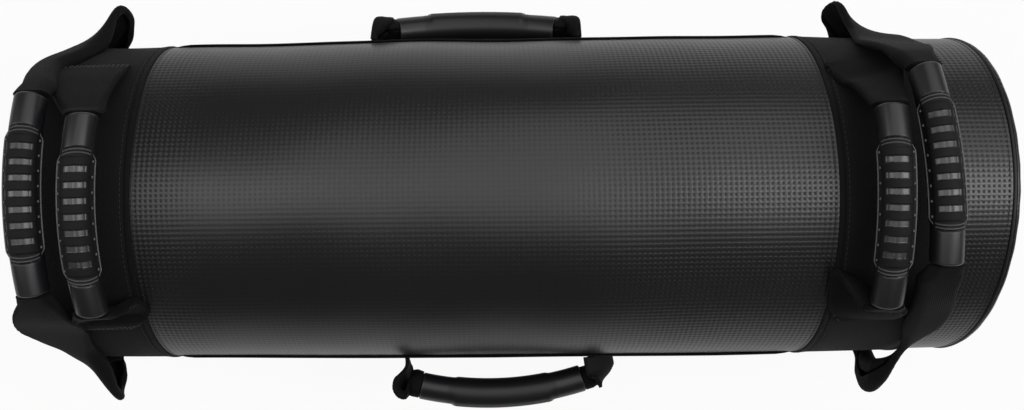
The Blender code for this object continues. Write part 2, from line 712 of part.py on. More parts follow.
def handles():
    """Four handles across the bag near its ends and one along each side."""
    hinge = math.cos(math.radians(INNER_HINGE_TURN))
    left_hinge = bag_radius(LEFT_STRAP_X) * hinge
    right_hinge = bag_radius(RIGHT_STRAP_X) * hinge
    cross_handle("left_inner", LEFT_STRAP_X, INNER_ROOT_TURN, left_hinge, INNER_STRAP_SHARES,
                 lean=9.5, roll=-3.8, yaw=-2.6, sides=(1, 1))
    cross_handle("left_outer", LEFT_STRAP_X, OUTER_ROOT_TURN, 0, OUTER_STRAP_SHARES,
                 lean=-8.8, roll=1.2, yaw=-0.9, sides=(1, -1))
    cross_handle("right_inner", RIGHT_STRAP_X, INNER_ROOT_TURN, right_hinge, INNER_STRAP_SHARES,
                 lean=-11.0, roll=-3.2, yaw=1.3, sides=(-1, -1))
    cross_handle("right_outer", RIGHT_STRAP_X, OUTER_ROOT_TURN, 0, OUTER_STRAP_SHARES,
                 lean=7.8, roll=6.5, yaw=-4.4, sides=(-1, 1))
    side_handle("front_side", FRONT_SIDE_HANDLE_X, -1, swing=0, tilt=-2.5)
    side_handle("back_side", BACK_SIDE_HANDLE_X, 1, swing=-57, tilt=0)


def main():
    """Clear the scene and build every piece."""
    for piece in list(bpy.data.objects):
        bpy.data.objects.remove(piece)
    outer_sleeve()
    bands()
    side_strip("front_side_strip", -1)
    side_strip("back_side_strip", 1)
    end_panel("right_end_panel", 1)
    left_panel = end_panel("left_end_panel", -1)
    cut = left_panel.modifiers.new("zip_slot", "BOOLEAN")
    cut.object = zip_opening()
    piping("left_piping", -1)
    piping("right_piping", 1)
    zip_parts()
    insides()
    handles()


main()
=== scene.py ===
"""Looks of a sandbag trainer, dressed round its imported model.

Lengths are in metres and angles in degrees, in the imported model's frame: X along the bag, Z up,
the ground at z = 0.
"""
import math

import bmesh
import bpy
import numpy as np
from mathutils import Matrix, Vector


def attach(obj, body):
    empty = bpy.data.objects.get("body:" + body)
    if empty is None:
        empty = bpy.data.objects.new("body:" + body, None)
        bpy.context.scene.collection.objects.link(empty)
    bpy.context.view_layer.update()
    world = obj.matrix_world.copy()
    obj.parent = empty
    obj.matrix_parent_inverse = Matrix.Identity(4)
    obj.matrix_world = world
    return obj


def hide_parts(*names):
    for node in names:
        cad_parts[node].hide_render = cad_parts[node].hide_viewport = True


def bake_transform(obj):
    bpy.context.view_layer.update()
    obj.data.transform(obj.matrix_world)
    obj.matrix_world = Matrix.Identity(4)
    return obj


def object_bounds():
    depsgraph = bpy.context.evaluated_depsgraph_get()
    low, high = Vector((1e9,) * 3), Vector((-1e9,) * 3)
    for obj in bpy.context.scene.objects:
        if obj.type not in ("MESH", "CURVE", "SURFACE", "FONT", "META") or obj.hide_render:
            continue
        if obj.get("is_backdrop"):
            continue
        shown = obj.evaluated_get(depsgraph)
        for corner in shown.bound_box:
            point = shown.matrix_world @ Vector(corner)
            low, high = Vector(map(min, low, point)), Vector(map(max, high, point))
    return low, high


MM = 0.001

# The bag, as packed
RIGHT_X = 0.320
LEFT_X = -RIGHT_X
LEFT_RADIUS = 0.1130
WIDEST_RADIUS = 0.1168
RIGHT_RADIUS = 0.1143
WIDEST_X = 0.095
AXIS_HEIGHT = 0.106
FLOOR_SOFTNESS = 0.0012
ROUND_SIDES = 168
SHARP_ANGLE = 50

# The right end's slant: further out on the back side
SLANT = 0.036
SLANT_START = 0.270

# Slow swells of the filling under the skin: period along, waves round, two phases, share
SWELL_HEIGHT = 0.0009
SWELLS = ((0.23, 2, 0.6, 0.8, 0.45), (0.14, 3, 1.9, -0.7, 0.35), (0.085, 5, 2.6, 2.2, 0.20))

# Skin layers
SKIN_WALL = 0.0024
SKIN_STEP = 0.005
UNDER_BAND = 0.0009
BAND_PROUD = 0.0006
BAND_DEPTH = 0.0006
HEM_WIDTH = 0.0035
HEM_PROUD = 0.0012
BAND_EDGE_LEFT = -0.248
BAND_EDGE_RIGHT = 0.203
RIGHT_BAND_END = 0.275
PANEL_ROUNDING = 0.0030
PANEL_THICKNESS = 0.0020
PANEL_BULGE = 0.0016
PANEL_CENTRE = 0.0006
GATHER_HEIGHT = 0.0004
GATHER_PLACE = 0.010
GATHER_REACH = 0.008
GATHER_FOLDS = 34
PIPING_RADIUS = 0.0013
PIPING_PROUD = 0.0008
SEAM_GAP = 0.0003
STRIP_WIDTH = 0.050
STRIP_FLOAT = 0.0005
STRIP_THICKNESS = 0.0012
SLEEVE_END = PANEL_ROUNDING + 2 * PIPING_RADIUS + 2 * SEAM_GAP
EMBOSS_PITCH = 0.00335

# Filling: foam liner and end pads, and three tied sand sacks
LINER_OUTSIDE = 0.0030
LINER_INSIDE = 0.0090
END_PAD_THICKNESS = 0.0120
END_PAD_ROUNDING = 0.0045
SACK_DEPTH = 0.0097
SACK_SHOULDER = 0.024
SACK_COUNT = 3
NECK_RADIUS = 0.018
NECK_LENGTH = 0.024
NECK_FLARE = 0.005
TIE_WIDTH = 0.012
TIE_TURNS = 2
CENTRE_SHARE = 0.004

# Zip across the left end panel
SLOT_LENGTH = 0.180
SLOT_HEIGHT = 0.012
SLOT_STITCH_MARGINS = (0.0030, 0.0060)
TAPE_MARGIN = 0.010
TAPE_THICKNESS = 0.0008
TAPE_FOLD = 0.00012
TEETH_DEPTH = 0.0018
TEETH_HEIGHT = 0.0050
TOOTH_PITCH = 0.0024
STOP_LENGTH = 0.0026
SLIDER_LENGTH = 0.0110
SLIDER_HEIGHT = 0.0090
SLIDER_BASE = 0.0020
LUG_REACH = 0.0040
LUG_WIDTH = 0.0018
PIN_RADIUS = 0.0006
PULLER_THICKNESS = 0.0016
PULLER_LENGTH = 0.0270
PULLER_WIDTH = 0.0095
PULLER_TOP = 0.0015
PULLER_HOLE_WIDTH = 0.0024
PULLER_HOLE_HEIGHT = 0.0058
PULLER_HOLE_DROP = 0.0165
TAPE_FRONT = LEFT_X + PANEL_THICKNESS + SEAM_GAP
TEETH_FRONT = TAPE_FRONT - TEETH_DEPTH
TEETH_END = SLOT_LENGTH / 2 - SEAM_GAP
SLIDER_BACK = TEETH_FRONT - SEAM_GAP
SLIDER_FRONT = SLIDER_BACK - SLIDER_BASE
SLIDER_Y = TEETH_END - STOP_LENGTH - SEAM_GAP - SLIDER_LENGTH / 2
PIN_X = SLIDER_FRONT - LUG_REACH / 2

# Webbing and handles
WEBBING_WIDTH = 0.050
HALF_THICKNESS = 0.0012
SEAT_HEIGHT = 0.0023
SIDE_SEAT_HEIGHT = 0.0022
FOLD_RADIUS = 0.0017
ROLL_RADIUS = 0.0050
MOUTH_WIDTH = 0.0215
MOUTH_RISE = 0.0045
CORE_WIDTH = 0.43 * WEBBING_WIDTH
CORE_RISE = 0.0026
CURLS = ((1.10, 0.0075), (1.05, 0.0084), (0.985, 0.0086))
STITCHED_ROWS = (1, 4, -5, -2)
INNER_ROOT_ANGLE = 52.5
INNER_BLEND_START = 0.090
SIDE_BLEND = (0.004, 0.024)
GRIP_CHORD = 0.125
GRIP_SAGITTA = 0.0086
GRIP_STANDOFF = 0.0275
GRIP_HALF_WIDTH = 0.0098
GRIP_HALF_HEIGHT = 0.0106
GRIP_BELLY = 0.0002
GRIP_BORE_RADIUS = 0.0073
GRIP_INSET = 0.0020
RIBBED_LENGTH = 0.0700
RIB_COUNT = 8
RIB_SHARE = 0.54
RIB_HEIGHT = 0.0004
RIB_SOFTNESS = 0.0006
FACE_HEIGHT = 0.0003
FACE_EDGE = 1.03
RING_HEIGHT = 0.0006
RING_START = 0.0046
RING_STEPS = (0.0000, 0.0021)
RING_WIDTH = 0.0010
RING_BEND = 0.0011
LINE_WIDTH = 0.0007
COLLAR_START = 0.0052
WINDOW_DEPTH = 0.0002
WINDOW_GROOVE = 0.0003
WINDOW_EDGE = 0.64
LEDGE_HEIGHT = 0.0008
LEDGE_START = 1.24
RIM_DEPTH = 0.0012
RIM_LENGTH = 0.0013
NUB_TURN = 1.13
LIP_TURN = 1.38
LIP_RADIUS = 0.00050
GRIP_ARC_RADIUS = ((GRIP_CHORD / 2) ** 2 + GRIP_SAGITTA ** 2) / (2 * GRIP_SAGITTA)
GRIP_HALF_ANGLE = math.asin(GRIP_CHORD / 2 / GRIP_ARC_RADIUS)
GRIP_LENGTH = 2 * GRIP_HALF_ANGLE * GRIP_ARC_RADIUS
RIB_PITCH = RIBBED_LENGTH / (RIB_COUNT - 1 + RIB_SHARE)
STRAP_COLUMNS = WEBBING_WIDTH / 2 * np.linspace(-1, 1, 45)

# Stitches, teeth and nubs: spacing, length and radius
SEAM_STITCH = (0.0036, 0.0028, 0.00034)
SLOT_STITCH = (0.0032, 0.0025, 0.0003)
ROOT_STITCH = (0.0030, 0.0026, 0.0004)
TOOTH = (TOOTH_PITCH, 0.0019, 0.0010)
NUB = (0.001, 0.0015, 0.00075)
STITCH_FROM_HEM = 0.0025
STITCH_FROM_BAND = 0.0022
STITCH_FROM_PIPING = 0.0052

# Rows of a strap from its seam to its grip, in millimetres and degrees: how far round the bag, then
# how far across and how far out its taut edge and its slack edge lie, and in some straps how far
# the slack edge is pulled round. Across counts from the strap's middle towards the bag's middle.
STRAP_ROWS = {
    "left_outer_top": (
        (118, -31, 0, 17, 0), (109, -31, 0, 4, 0), (102, -31, 1, -19, 4), (96, -31, 1, -17, 12),
        (91, -31, 1, -6, 21), (86, -31, 1, -4, 26.5), (81, -31, 1, -5.5, 28.5),
        (75, -31, 1, -8, 18), (68, -31, 1.5, -9, 10), (60, -33, 3, -10, 6), (48, -31, 10, -14, 10),
        (38, -23, 18.5, -5, 18.5), (30, -13, 28, 7, 28)),
    "left_outer_bottom": (
        (118, -31, 0, 17, 0), (109, -31, 0, 2, 0), (102, -31, 1, -20, 4), (96, -31, 1, -24, 12),
        (90, -31, 1, -19, 24), (84, -30, 1, -11, 30), (76, -31, 1, -13, 21), (68, -33, 1, -13, 12),
        (60, -35, 1.5, -10, 6), (53, -40, 3, -4, 6), (46, -43, 7, 3, 9), (40, -38, 13, 10, 15),
        (34, -28, 22, 12, 24), (28, -14, 31, 13, 31)),
    "right_outer_top": (
        (118, -33, 0, 15, 0), (109, -33, 0, 3, 0), (102, -36, 1, -11, 4), (96, -37, 0.5, -5.5, 12),
        (91, -38, 0.5, 3.5, 20), (87, -38, 0, 0.5, 24.5), (83, -38, 0, -3.5, 22),
        (77, -39, 0, -5, 10), (70, -40, 0, -3, 4), (60, -41, 1, 2, 3), (49, -37, 6, 8, 9),
        (38, -25, 18, 9, 19), (30, -14, 29, 11, 29)),
    "right_outer_bottom": (
        (118, -34, 0, 14, 0), (109, -35, 0, 2, 0), (103, -36, 1, -19, 3), (98, -35, 4, -27, 11),
        (92, -34, 7, -27, 22), (86, -32, 8, -26, 29), (80, -31, 8, -27, 23),
        (72, -28.5, 6, -26.5, 11), (62, -29, 4, -23, 5), (52, -35, 7, -13, 8),
        (42, -29, 14, -3, 15), (34, -18, 24, 7, 24), (28, -13, 31, 15, 31)),
    "left_inner_top": (
        (52, -30, 0, 20, 0), (47.5, -28, 4, 20, 3.5), (43, -25, 8, 19, 7.5),
        (36.2, -21, 14.6, 16, 14.6), (30.3, -16, 23.4, 12.5, 23.4), (26.5, -12, 30, 11.5, 30)),
    "left_inner_bottom": (
        (46, -9, 0, 22, 0, 0), (42, -10, 6, 30, 2, 0), (39, -10.5, 10, 34, 2, 0),
        (36, -11, 14, 34, 2.5, 0), (31, -12, 22, 27, 12, -3), (28, -12, 27, 18, 24, -1),
        (26.5, -12, 30, 13, 30, 0)),
    "right_inner_top": (
        (52, -18.5, 0, 32, 0, -5), (48, -16.5, 3.5, 30, 1, -5), (42, -13.5, 9, 25, 4, -4),
        (37, -11, 15, 20, 10, -2), (31, -9.5, 23.4, 15, 21, -1), (26.5, -9.5, 30, 11.5, 30, 0)),
    "right_inner_bottom": (
        (44.5, -12, 0, 28, 0, 0), (40, -12, 6, 32, 3, -2), (36, -12, 12, 33, 5, -6),
        (31, -11.5, 20, 33, 9, -10), (28.5, -11, 26, 29, 15, -9), (26, -11, 31, 14, 31, 0)),
}

# How closely a strap follows the bag before it turns up, at its top and at its bottom end
HUGS = {"right_outer": (0.65, 0.25)}
USUAL_HUGS = (0.25, 0.25)

# Rows of a side strap, in millimetres: how far past the grip's end and how far out its upper edge
# and its lower edge lie, and its width's share
SIDE_STRAP_ROWS = {
    "front_side_right": (
        (-3, -0.5, 21, -0.5, 1), (-2, 5, 23, 6, 1), (0, 11, 24, 12, 1), (5, 16, 22, 18, 0.9),
        (8, 20, 16, 23, 0.78), (9, 23, 13, 24, 0.68)),
    "front_side_left": (
        (6, -0.5, 12, -0.5, 1), (8, 5, 10, 5, 1), (15, 10, 7, 10, 0.95), (18, 16, 6, 16, 0.85),
        (16, 22, 5, 22, 0.75), (11, 25, 5, 24, 0.65)),
    "back_side_right": (
        (13, -0.5, 12, -0.5, 0.90), (13.5, 5, 13, 5, 0.62), (13.5, 12, 13, 12, 0.48),
        (10, 18, 10, 18, 0.42), (6, 22, 6, 21, 0.42), (2, 22, 2, 21, 0.42)),
    "back_side_left": (
        (14, -0.5, 13, -0.5, 0.90), (14, 5, 13, 5, 0.66), (12.5, 12, 12, 12, 0.54),
        (9, 18, 9, 18, 0.46), (5, 22, 5, 21, 0.44), (2, 22, 2, 21, 0.42)),
}

# Camera, found from the photograph's perspective
PHOTO_WIDTH = 1024
CAMERA_PLACE = (-0.025, -0.005, 0.848)
CAMERA_ROLL = -0.66
FOCAL_PIXELS = 988
FOOT_PIXEL = 480
SENSOR_WIDTH = 36.0

# Lamps: place, size and power. The floor's glow: as seen, and reflected behind and before the bag.
LAMPS = {
    "over_back": ((0.42, 0.46, 1.50), (2.05, 2.4), 21.0),
    "over_left": ((-1.12, 0.02, 1.50), (0.95, 1.6), 6.4),
    "left_end": ((-2.6, 0.3, 1.6), (0.5, 1.6), 12.0),
    "right_end": ((1.9, 0.08, 2.2), (0.8, 2.2), 28.0),
}
FLOOR_REACH = 4.0
FLOOR_SHADE = 0.68
ROOM_SHADE = 0.095
SEEN_GLOW = 0.93
BACK_GLOW = 0.165
FRONT_GLOW = 0.27


# Materials

def add_node(tree, kind, values=(), **settings):
    """A node's outputs, once it has its settings and the values or links of its sockets."""
    node = tree.nodes.new(kind)
    for setting, value in settings.items():
        setattr(node, setting, value)
    for socket, value in dict(values).items():
        if isinstance(value, bpy.types.NodeSocket):
            tree.links.new(value, node.inputs[socket])
        else:
            node.inputs[socket].default_value = value
    return node.outputs


class Value:
    """A shader socket that Python's operators turn into nodes."""

    def __init__(self, finish, socket):
        self.finish = finish
        self.socket = socket

    def math(self, operation, *values):
        """A Math node on these values."""
        return self.finish.node("ShaderNodeMath", dict(enumerate(values)), operation=operation)

    def __add__(self, other):
        return self.math("ADD", self, other)

    def __sub__(self, other):
        return self.math("SUBTRACT", self, other)

    def __rsub__(self, other):
        return self.math("SUBTRACT", other, self)

    def __mul__(self, other):
        return self.math("MULTIPLY", self, other)

    def wave(self, period):
        """A smooth wave from 0 to 1, highest at whole periods."""
        return self.math("COSINE", self * (math.tau / period)) * 0.5 + 0.5

    def above(self, low, high):
        """A soft step from 0 at low to 1 at high."""
        return self.finish.node("ShaderNodeMapRange",
                                {"Value": self, "From Min": low, "From Max": high},
                                interpolation_type="SMOOTHSTEP")

    def larger(self, other):
        """The larger of two values."""
        return self.math("MAXIMUM", self, other)

    def clamped(self):
        """This value, kept between 0 and 1."""
        self.socket.node.use_clamp = True
        return self


class Finish:
    """A material whose nodes are written as expressions."""

    def __init__(self, name, **constants):
        self.material = bpy.data.materials.new(name)
        self.material.use_nodes = True
        self.tree = self.material.node_tree
        self.surface = self.tree.nodes["Principled BSDF"]
        for socket, value in constants.items():
            self.surface.inputs[socket.replace("_", " ")].default_value = value

    def node(self, kind, values=(), output=0, **settings):
        """Any node: the values or links of its sockets, and its settings."""
        links = {socket: getattr(value, "socket", value) for socket, value in dict(values).items()}
        return Value(self, add_node(self.tree, kind, links, **settings)[output])

    def parts(self, place):
        """The first two lengths of a place."""
        return [self.node("ShaderNodeSeparateXYZ", {0: place}, output=k) for k in (0, 1)]

    def chart(self):
        """The two lengths of a piece's own flat chart, in metres."""
        return self.parts(self.node("ShaderNodeUVMap", uv_map="chart"))

    def place(self):
        """Object coordinates, in metres."""
        return self.node("ShaderNodeTexCoord", output=3)

    def noise(self, scale, detail=3.0):
        """Soft noise over object coordinates, round 0.5."""
        values = {"Vector": self.place(), "Scale": scale, "Detail": detail, "Roughness": 0.55}
        return self.node("ShaderNodeTexNoise", values)

    def attribute(self, name):
        """A value stored on the piece's points."""
        return self.node("ShaderNodeAttribute", output=2, attribute_name=name)

    def mix(self, share, *colours):
        """A colour between two colours."""
        first, second = ((*c, 1.0) if isinstance(c, tuple) else c for c in colours)
        return self.node("ShaderNodeMix", {0: share, 6: first, 7: second}, 2, data_type="RGBA")

    def feed(self, socket, value):
        """A value that changes over the surface, into one of the surface's sockets."""
        self.tree.links.new(value.socket, self.surface.inputs[socket])

    def dressed(self, colour, roughness, height, distance):
        """The material, once its colour, its roughness and its bump are fed in."""
        bump = {"Height": height, "Distance": distance, "Strength": 1.0}
        self.feed("Base Color", colour)
        self.feed("Roughness", roughness)
        self.feed("Normal", self.node("ShaderNodeBump", bump))
        return self.material


def embossed_leather():
    """Black leather pressed with a woven grid, deeper towards both ends: its pits darkened as
    painted shade, its lands lightened as a painted highlight.
    """
    finish = Finish("embossed_leather", Specular_IOR_Level=0.5)
    along, round_bag = finish.chart()
    across_wave, along_wave = along.wave(EMBOSS_PITCH), round_bag.wave(EMBOSS_PITCH)
    cloud, grain = finish.noise(9.0, detail=2.0), finish.noise(1400.0)
    ends = (along - 0.02).above(0.0, 0.09).larger((along * -1 - 0.195).above(0.0, 0.045))
    upright = round_bag.wave(math.pi * WIDEST_RADIUS).above(0.02, 0.45)
    depth = (ends * 0.62 + cloud * 0.30 + 0.17) * (upright * 0.65 + 0.35)
    pit = (across_wave * along_wave).above(0.22, 0.80) * depth
    land = ((1 - across_wave) * (1 - along_wave)).above(0.25, 0.90) * depth
    twill = (along + round_bag).wave(EMBOSS_PITCH / 3)
    # Painted light: the lands get a lighter colour as a painted highlight, and the pits a near-black
    # one as painted shade, both as deep as the emboss.
    land_highlight = finish.mix(land, (0.0070, 0.0070, 0.0080), (0.0150, 0.0150, 0.0165))
    return finish.dressed(finish.mix(pit, land_highlight, (0.002, 0.002, 0.0025)),
                          pit * 0.36 + cloud * 0.08 + grain * 0.06 + 0.25,
                          land * 0.5 - pit + twill * 0.06 + grain * 0.22, 0.00017)


def woven_nylon(name, shade, pitch, roughness=0.82):
    """Black nylon in a plain weave, with slow changes of shade."""
    finish = Finish(name, Specular_IOR_Level=0.20, Sheen_Weight=0.02, Sheen_Roughness=0.5)
    across, along = finish.chart()
    weave = across.wave(pitch) * along.wave(pitch) + across.wave(pitch) * 0.4
    cloud = finish.noise(18.0)
    colour = finish.mix(weave * 0.5 + cloud * 0.4, (shade * 0.7,) * 3, (shade * 1.35,) * 3)
    return finish.dressed(colour, cloud * 0.12 + (roughness - 0.06),
                          weave + finish.noise(2600.0) * 0.5, 0.00018)


def heavy_webbing(rib=0.0013, pick=0.0009):
    """Strap webbing: fine ribs along its length, crossed by the pick of the weave."""
    finish = Finish("webbing_nylon", Specular_IOR_Level=0.12, Sheen_Weight=0.01,
                    Sheen_Roughness=0.45)
    across, along = finish.chart()
    ribs = across.wave(rib)
    picks = (along + across * 0.5).wave(pick)
    cloud = finish.noise(24.0)
    colour = finish.mix(ribs * 0.5 + cloud * 0.5, (0.0018, 0.0018, 0.0020),
                        (0.0038, 0.0038, 0.0041))
    return finish.dressed(colour, cloud * 0.14 + 0.66,
                          ribs * 0.8 + picks * 0.4 + finish.noise(2200.0) * 0.2, 0.00018)


def grip_rubber():
    """Charcoal moulded rubber: satin collars, matte ribs and glossy windows, with a painted
    highlight on the fine rings and the end rims.
    """
    finish = Finish("grip_rubber", Specular_IOR_Level=0.20, Coat_IOR=1.50, Coat_Roughness=0.34)
    window, collar, rim_and_ring_highlight = (finish.attribute(name) for name in ("window", "collar", "rim_and_ring_highlight"))
    cloud = finish.noise(60.0)
    matte = finish.mix(cloud, (0.0030, 0.0030, 0.0035), (0.0052, 0.0052, 0.0058))
    satin = finish.mix(collar, matte, (0.0050, 0.0050, 0.0062))
    glossy = finish.mix(window, satin, (0.010, 0.010, 0.0115))
    finish.feed("Coat Weight", window.larger(collar * 0.55))
    # Painted highlight: the rings' crests and the grip's end rims are coloured near grey.
    return finish.dressed(finish.mix(rim_and_ring_highlight, glossy, (0.090, 0.090, 0.094)),
                          0.66 - window * 0.30 - collar * 0.24 - rim_and_ring_highlight * 0.2 + cloud * 0.06,
                          finish.noise(1800.0), 0.00002)


def plain_cloth(name, colour, roughness, scale, lift):
    """A matte cloth, foam or thread with a fine uneven surface."""
    finish = Finish(name, Specular_IOR_Level=0.3)
    grain, cloud = finish.noise(scale, detail=4.0), finish.noise(scale / 30)
    dark, light = (tuple(c * share for c in colour) for share in (0.78, 1.2))
    return finish.dressed(finish.mix(grain * 0.5 + cloud * 0.5, dark, light),
                          grain * 0.08 + roughness, grain, lift)


def plated_metal():
    """Dark plated zip metal, brushed and with a little wear."""
    finish = Finish("zip_metal", Metallic=1.0)
    grain = finish.noise(900.0)
    wear = finish.noise(260.0).above(0.52, 0.70)
    return finish.dressed(finish.mix(wear, (0.10, 0.10, 0.11), (0.30, 0.30, 0.31)),
                          grain * 0.12 + 0.30, grain, 0.00003)


# Meshes

def linked(name, data):
    """A new object in the scene."""
    made = bpy.data.objects.new(name, data)
    bpy.context.scene.collection.objects.link(made)
    return made


def keep(piece, body, slot, *nodes):
    """Rides a finished piece on its body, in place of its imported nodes."""
    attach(piece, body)
    if nodes:
        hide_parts(*nodes)
    return piece


def finished(name, mesh, material):
    """A named object from a mesh, with its faces pointing out."""
    bm = bmesh.new()
    bm.from_mesh(mesh)
    bmesh.ops.recalc_face_normals(bm, faces=bm.faces)
    bm.to_mesh(mesh)
    bm.free()
    mesh.shade_smooth()
    mesh.set_sharp_from_angle(angle=math.radians(SHARP_ANGLE))
    mesh.materials.append(material)
    return linked(name, mesh)


def made_of(name, bm, material):
    """A finished object from a bmesh."""
    mesh = bpy.data.meshes.new(name)
    bm.to_mesh(mesh)
    bm.free()
    mesh.uv_layers.new(name="chart")
    return finished(name, mesh, material)


def surface(name, grid, material, closed_rows=False, chart=None, values=None):
    """A mesh through a grid of points whose columns join up, and its rows join up or are capped.

    The chart is each point's place on the flat material, with one more row or column where the
    grid joins up. Values are numbers stored on the points by name.
    """
    rows, columns = grid.shape[:2]
    i, j = np.meshgrid(np.arange(rows - (not closed_rows)), np.arange(columns), indexing="ij")
    corners = ((i, j), (i, j + 1), (i + 1, j + 1), (i + 1, j))
    quads = np.stack([(a % rows) * columns + b % columns for a, b in corners], -1).reshape(-1, 4)
    faces = quads.tolist()
    if not closed_rows:
        faces += [list(range(columns)), list(range((rows - 1) * columns, rows * columns))]
    mesh = bpy.data.meshes.new(name)
    mesh.from_pydata(grid.reshape(-1, 3).tolist(), [], faces)
    flat = np.zeros((len(mesh.loops), 2))
    if chart is not None:
        order = np.stack([a * chart.shape[1] + b for a, b in corners], -1).reshape(-1)
        flat[:len(order)] = chart.reshape(-1, 2)[order]
    mesh.uv_layers.new(name="chart").data.foreach_set("uv", flat.astype(np.float32).ravel())
    for label, numbers in (values or {}).items():
        layer = mesh.attributes.new(label, "FLOAT", "POINT")
        layer.data.foreach_set("value", np.asarray(numbers, np.float32).ravel())
    return finished(name, mesh, material)


def chart_of(rows, columns):
    """A flat chart from a length for each row and a length for each column."""
    return np.stack(np.meshgrid(rows, columns, indexing="ij"), -1)


def standing(pairs):
    """The two columns of a list of pairs, each as a standing array."""
    return (np.array(column)[:, None] for column in zip(*pairs))


def unit(vectors):
    """Vectors brought to length 1."""
    return vectors / (np.linalg.norm(vectors, axis=-1, keepdims=True) + 1e-12)


def quarter(count, start=0.0):
    """Cosine and sine at angles up to a quarter turn."""
    return [(math.cos(t), math.sin(t)) for t in np.linspace(start, math.pi / 2, count)]


def smoothstep(share):
    """A soft ramp from 0 to 1."""
    share = np.clip(share, 0.0, 1.0)
    return share * share * (3 - 2 * share)


def skin_radius(x):
    """Radius of the filled bag at x."""
    left = (x - WIDEST_X) / (LEFT_X - WIDEST_X)
    right = (x - WIDEST_X) / (RIGHT_X - WIDEST_X)
    return WIDEST_RADIUS - np.where(x < WIDEST_X, (WIDEST_RADIUS - LEFT_RADIUS) * left ** 2,
                                    (WIDEST_RADIUS - RIGHT_RADIUS) * right ** 2)


def swell(x, turn):
    """How far the filling pushes the skin in or out."""
    return SWELL_HEIGHT * sum(
        share * np.sin(math.tau * x / period + phase) * np.cos(waves * turn + twist)
        for period, waves, phase, twist, share in SWELLS)


def skin(x, turn, lift):
    """Points at a height over the bag's skin, flat where the bag lies."""
    x, turn, lift = np.broadcast_arrays(*(np.asarray(value, float) for value in (x, turn, lift)))
    radius = skin_radius(x)
    share = np.clip((radius + lift) / radius, 0, 1)
    reach = radius + lift + swell(x, turn) * share
    low = AXIS_HEIGHT * (1 - share)
    height = AXIS_HEIGHT + reach * np.cos(turn) - low
    height = low + FLOOR_SOFTNESS * np.logaddexp(0, height / FLOOR_SOFTNESS)
    across = reach * np.sin(turn)
    slanted = x + SLANT * across * smoothstep((x - SLANT_START) / (RIGHT_X - SLANT_START))
    return np.stack([slanted, across, height], -1)


def wrap(name, profile, material, sides=ROUND_SIDES):
    """A closed profile of (x, lift) points, turned round the bag."""
    x, lift = standing(profile)
    turns = np.linspace(0, math.tau, sides + 1)
    chart = chart_of(np.append(x[:, 0], x[0, 0]), turns * WIDEST_RADIUS)
    return surface(name, skin(x, turns[None, :-1], lift), material, closed_rows=True, chart=chart)


def layer_profile(start, end, low, high, rounding, step=0.006):
    """A closed profile of a thin layer, with rounded outer edges."""
    count = max(2, round((end - start) / step)) + 1
    inside = [(x, low) for x in np.linspace(start, end, count)]
    outside = [(x, high) for x in np.linspace(end - rounding, start + rounding, count)]
    edge = high - (high - low) * 0.3
    return inside + [(end, edge)] + outside + [(start, edge)]


def smooth_rows(table, steps=7):
    """A smooth run of values through the rows of a table."""
    rows = np.array(table, float)
    padded = np.concatenate([2 * rows[:1] - rows[1:2], rows, 2 * rows[-1:] - rows[-2:-1]])
    place = np.linspace(0, len(rows) - 1, steps * (len(rows) - 1) + 1)
    index = np.minimum(place.astype(int), len(rows) - 2)
    t = (place - index)[:, None]
    a, b, c, d = (padded[index + k] for k in range(4))
    return 0.5 * (2 * b + (c - a) * t + (2 * a - 5 * b + 4 * c - d) * t ** 2
                  + (3 * b - a - 3 * c + d) * t ** 3)


def rotate(points, axis, degrees):
    """Points turned about one axis, each by its own angle."""
    a, b = ((1, 2), (2, 0), (0, 1))[axis]
    cos, sin = np.cos(np.radians(degrees)), np.sin(np.radians(degrees))
    turned = points.copy()
    turned[..., a] = cos * points[..., a] - sin * points[..., b]
    turned[..., b] = sin * points[..., a] + cos * points[..., b]
    return turned


# Repeated pieces

def bead_tree():
    """Geometry Nodes: a bead on every step of a path, turned along it."""
    tree = bpy.data.node_groups.new("beads along a path", "GeometryNodeTree")
    for label, kind in (("Path", "Geometry"), ("Spacing", "Float"), ("Bead length", "Float"),
                        ("Bead radius", "Float"), ("Bead finish", "Material")):
        tree.interface.new_socket(label, in_out="INPUT", socket_type="NodeSocket" + kind)
    tree.interface.new_socket("Beads", in_out="OUTPUT", socket_type="NodeSocketGeometry")

    def add(kind, values=(), **settings):
        return add_node(tree, kind, values, **settings)[0]

    given = add_node(tree, "NodeGroupInput")
    radius = given["Bead radius"]
    steps = add("GeometryNodeResampleCurve", {"Curve": given["Path"], "Length": given["Spacing"]},
                mode="LENGTH")
    bead = add("GeometryNodeMeshUVSphere", {"Segments": 6, "Rings": 4, "Radius": 1.0})
    tangent = add("GeometryNodeInputTangent")
    turn = add("FunctionNodeAlignRotationToVector", {"Vector": tangent}, axis="X")
    half = add("ShaderNodeMath", {0: given["Bead length"], 1: 0.5}, operation="MULTIPLY")
    size = add("ShaderNodeCombineXYZ", {0: half, 1: radius, 2: radius})
    beads = add("GeometryNodeInstanceOnPoints",
                {"Points": steps, "Instance": bead, "Rotation": turn, "Scale": size})
    real = add("GeometryNodeRealizeInstances", {"Geometry": beads})
    shown = add("GeometryNodeSetMaterial", {"Geometry": real, "Material": given["Bead finish"]})
    add_node(tree, "NodeGroupOutput", {"Beads": shown})
    return tree


def evaluated_mesh(piece):
    """The mesh that an object's modifiers make."""
    bpy.context.view_layer.update()
    evaluated = piece.evaluated_get(bpy.context.evaluated_depsgraph_get())
    return bpy.data.meshes.new_from_object(evaluated)


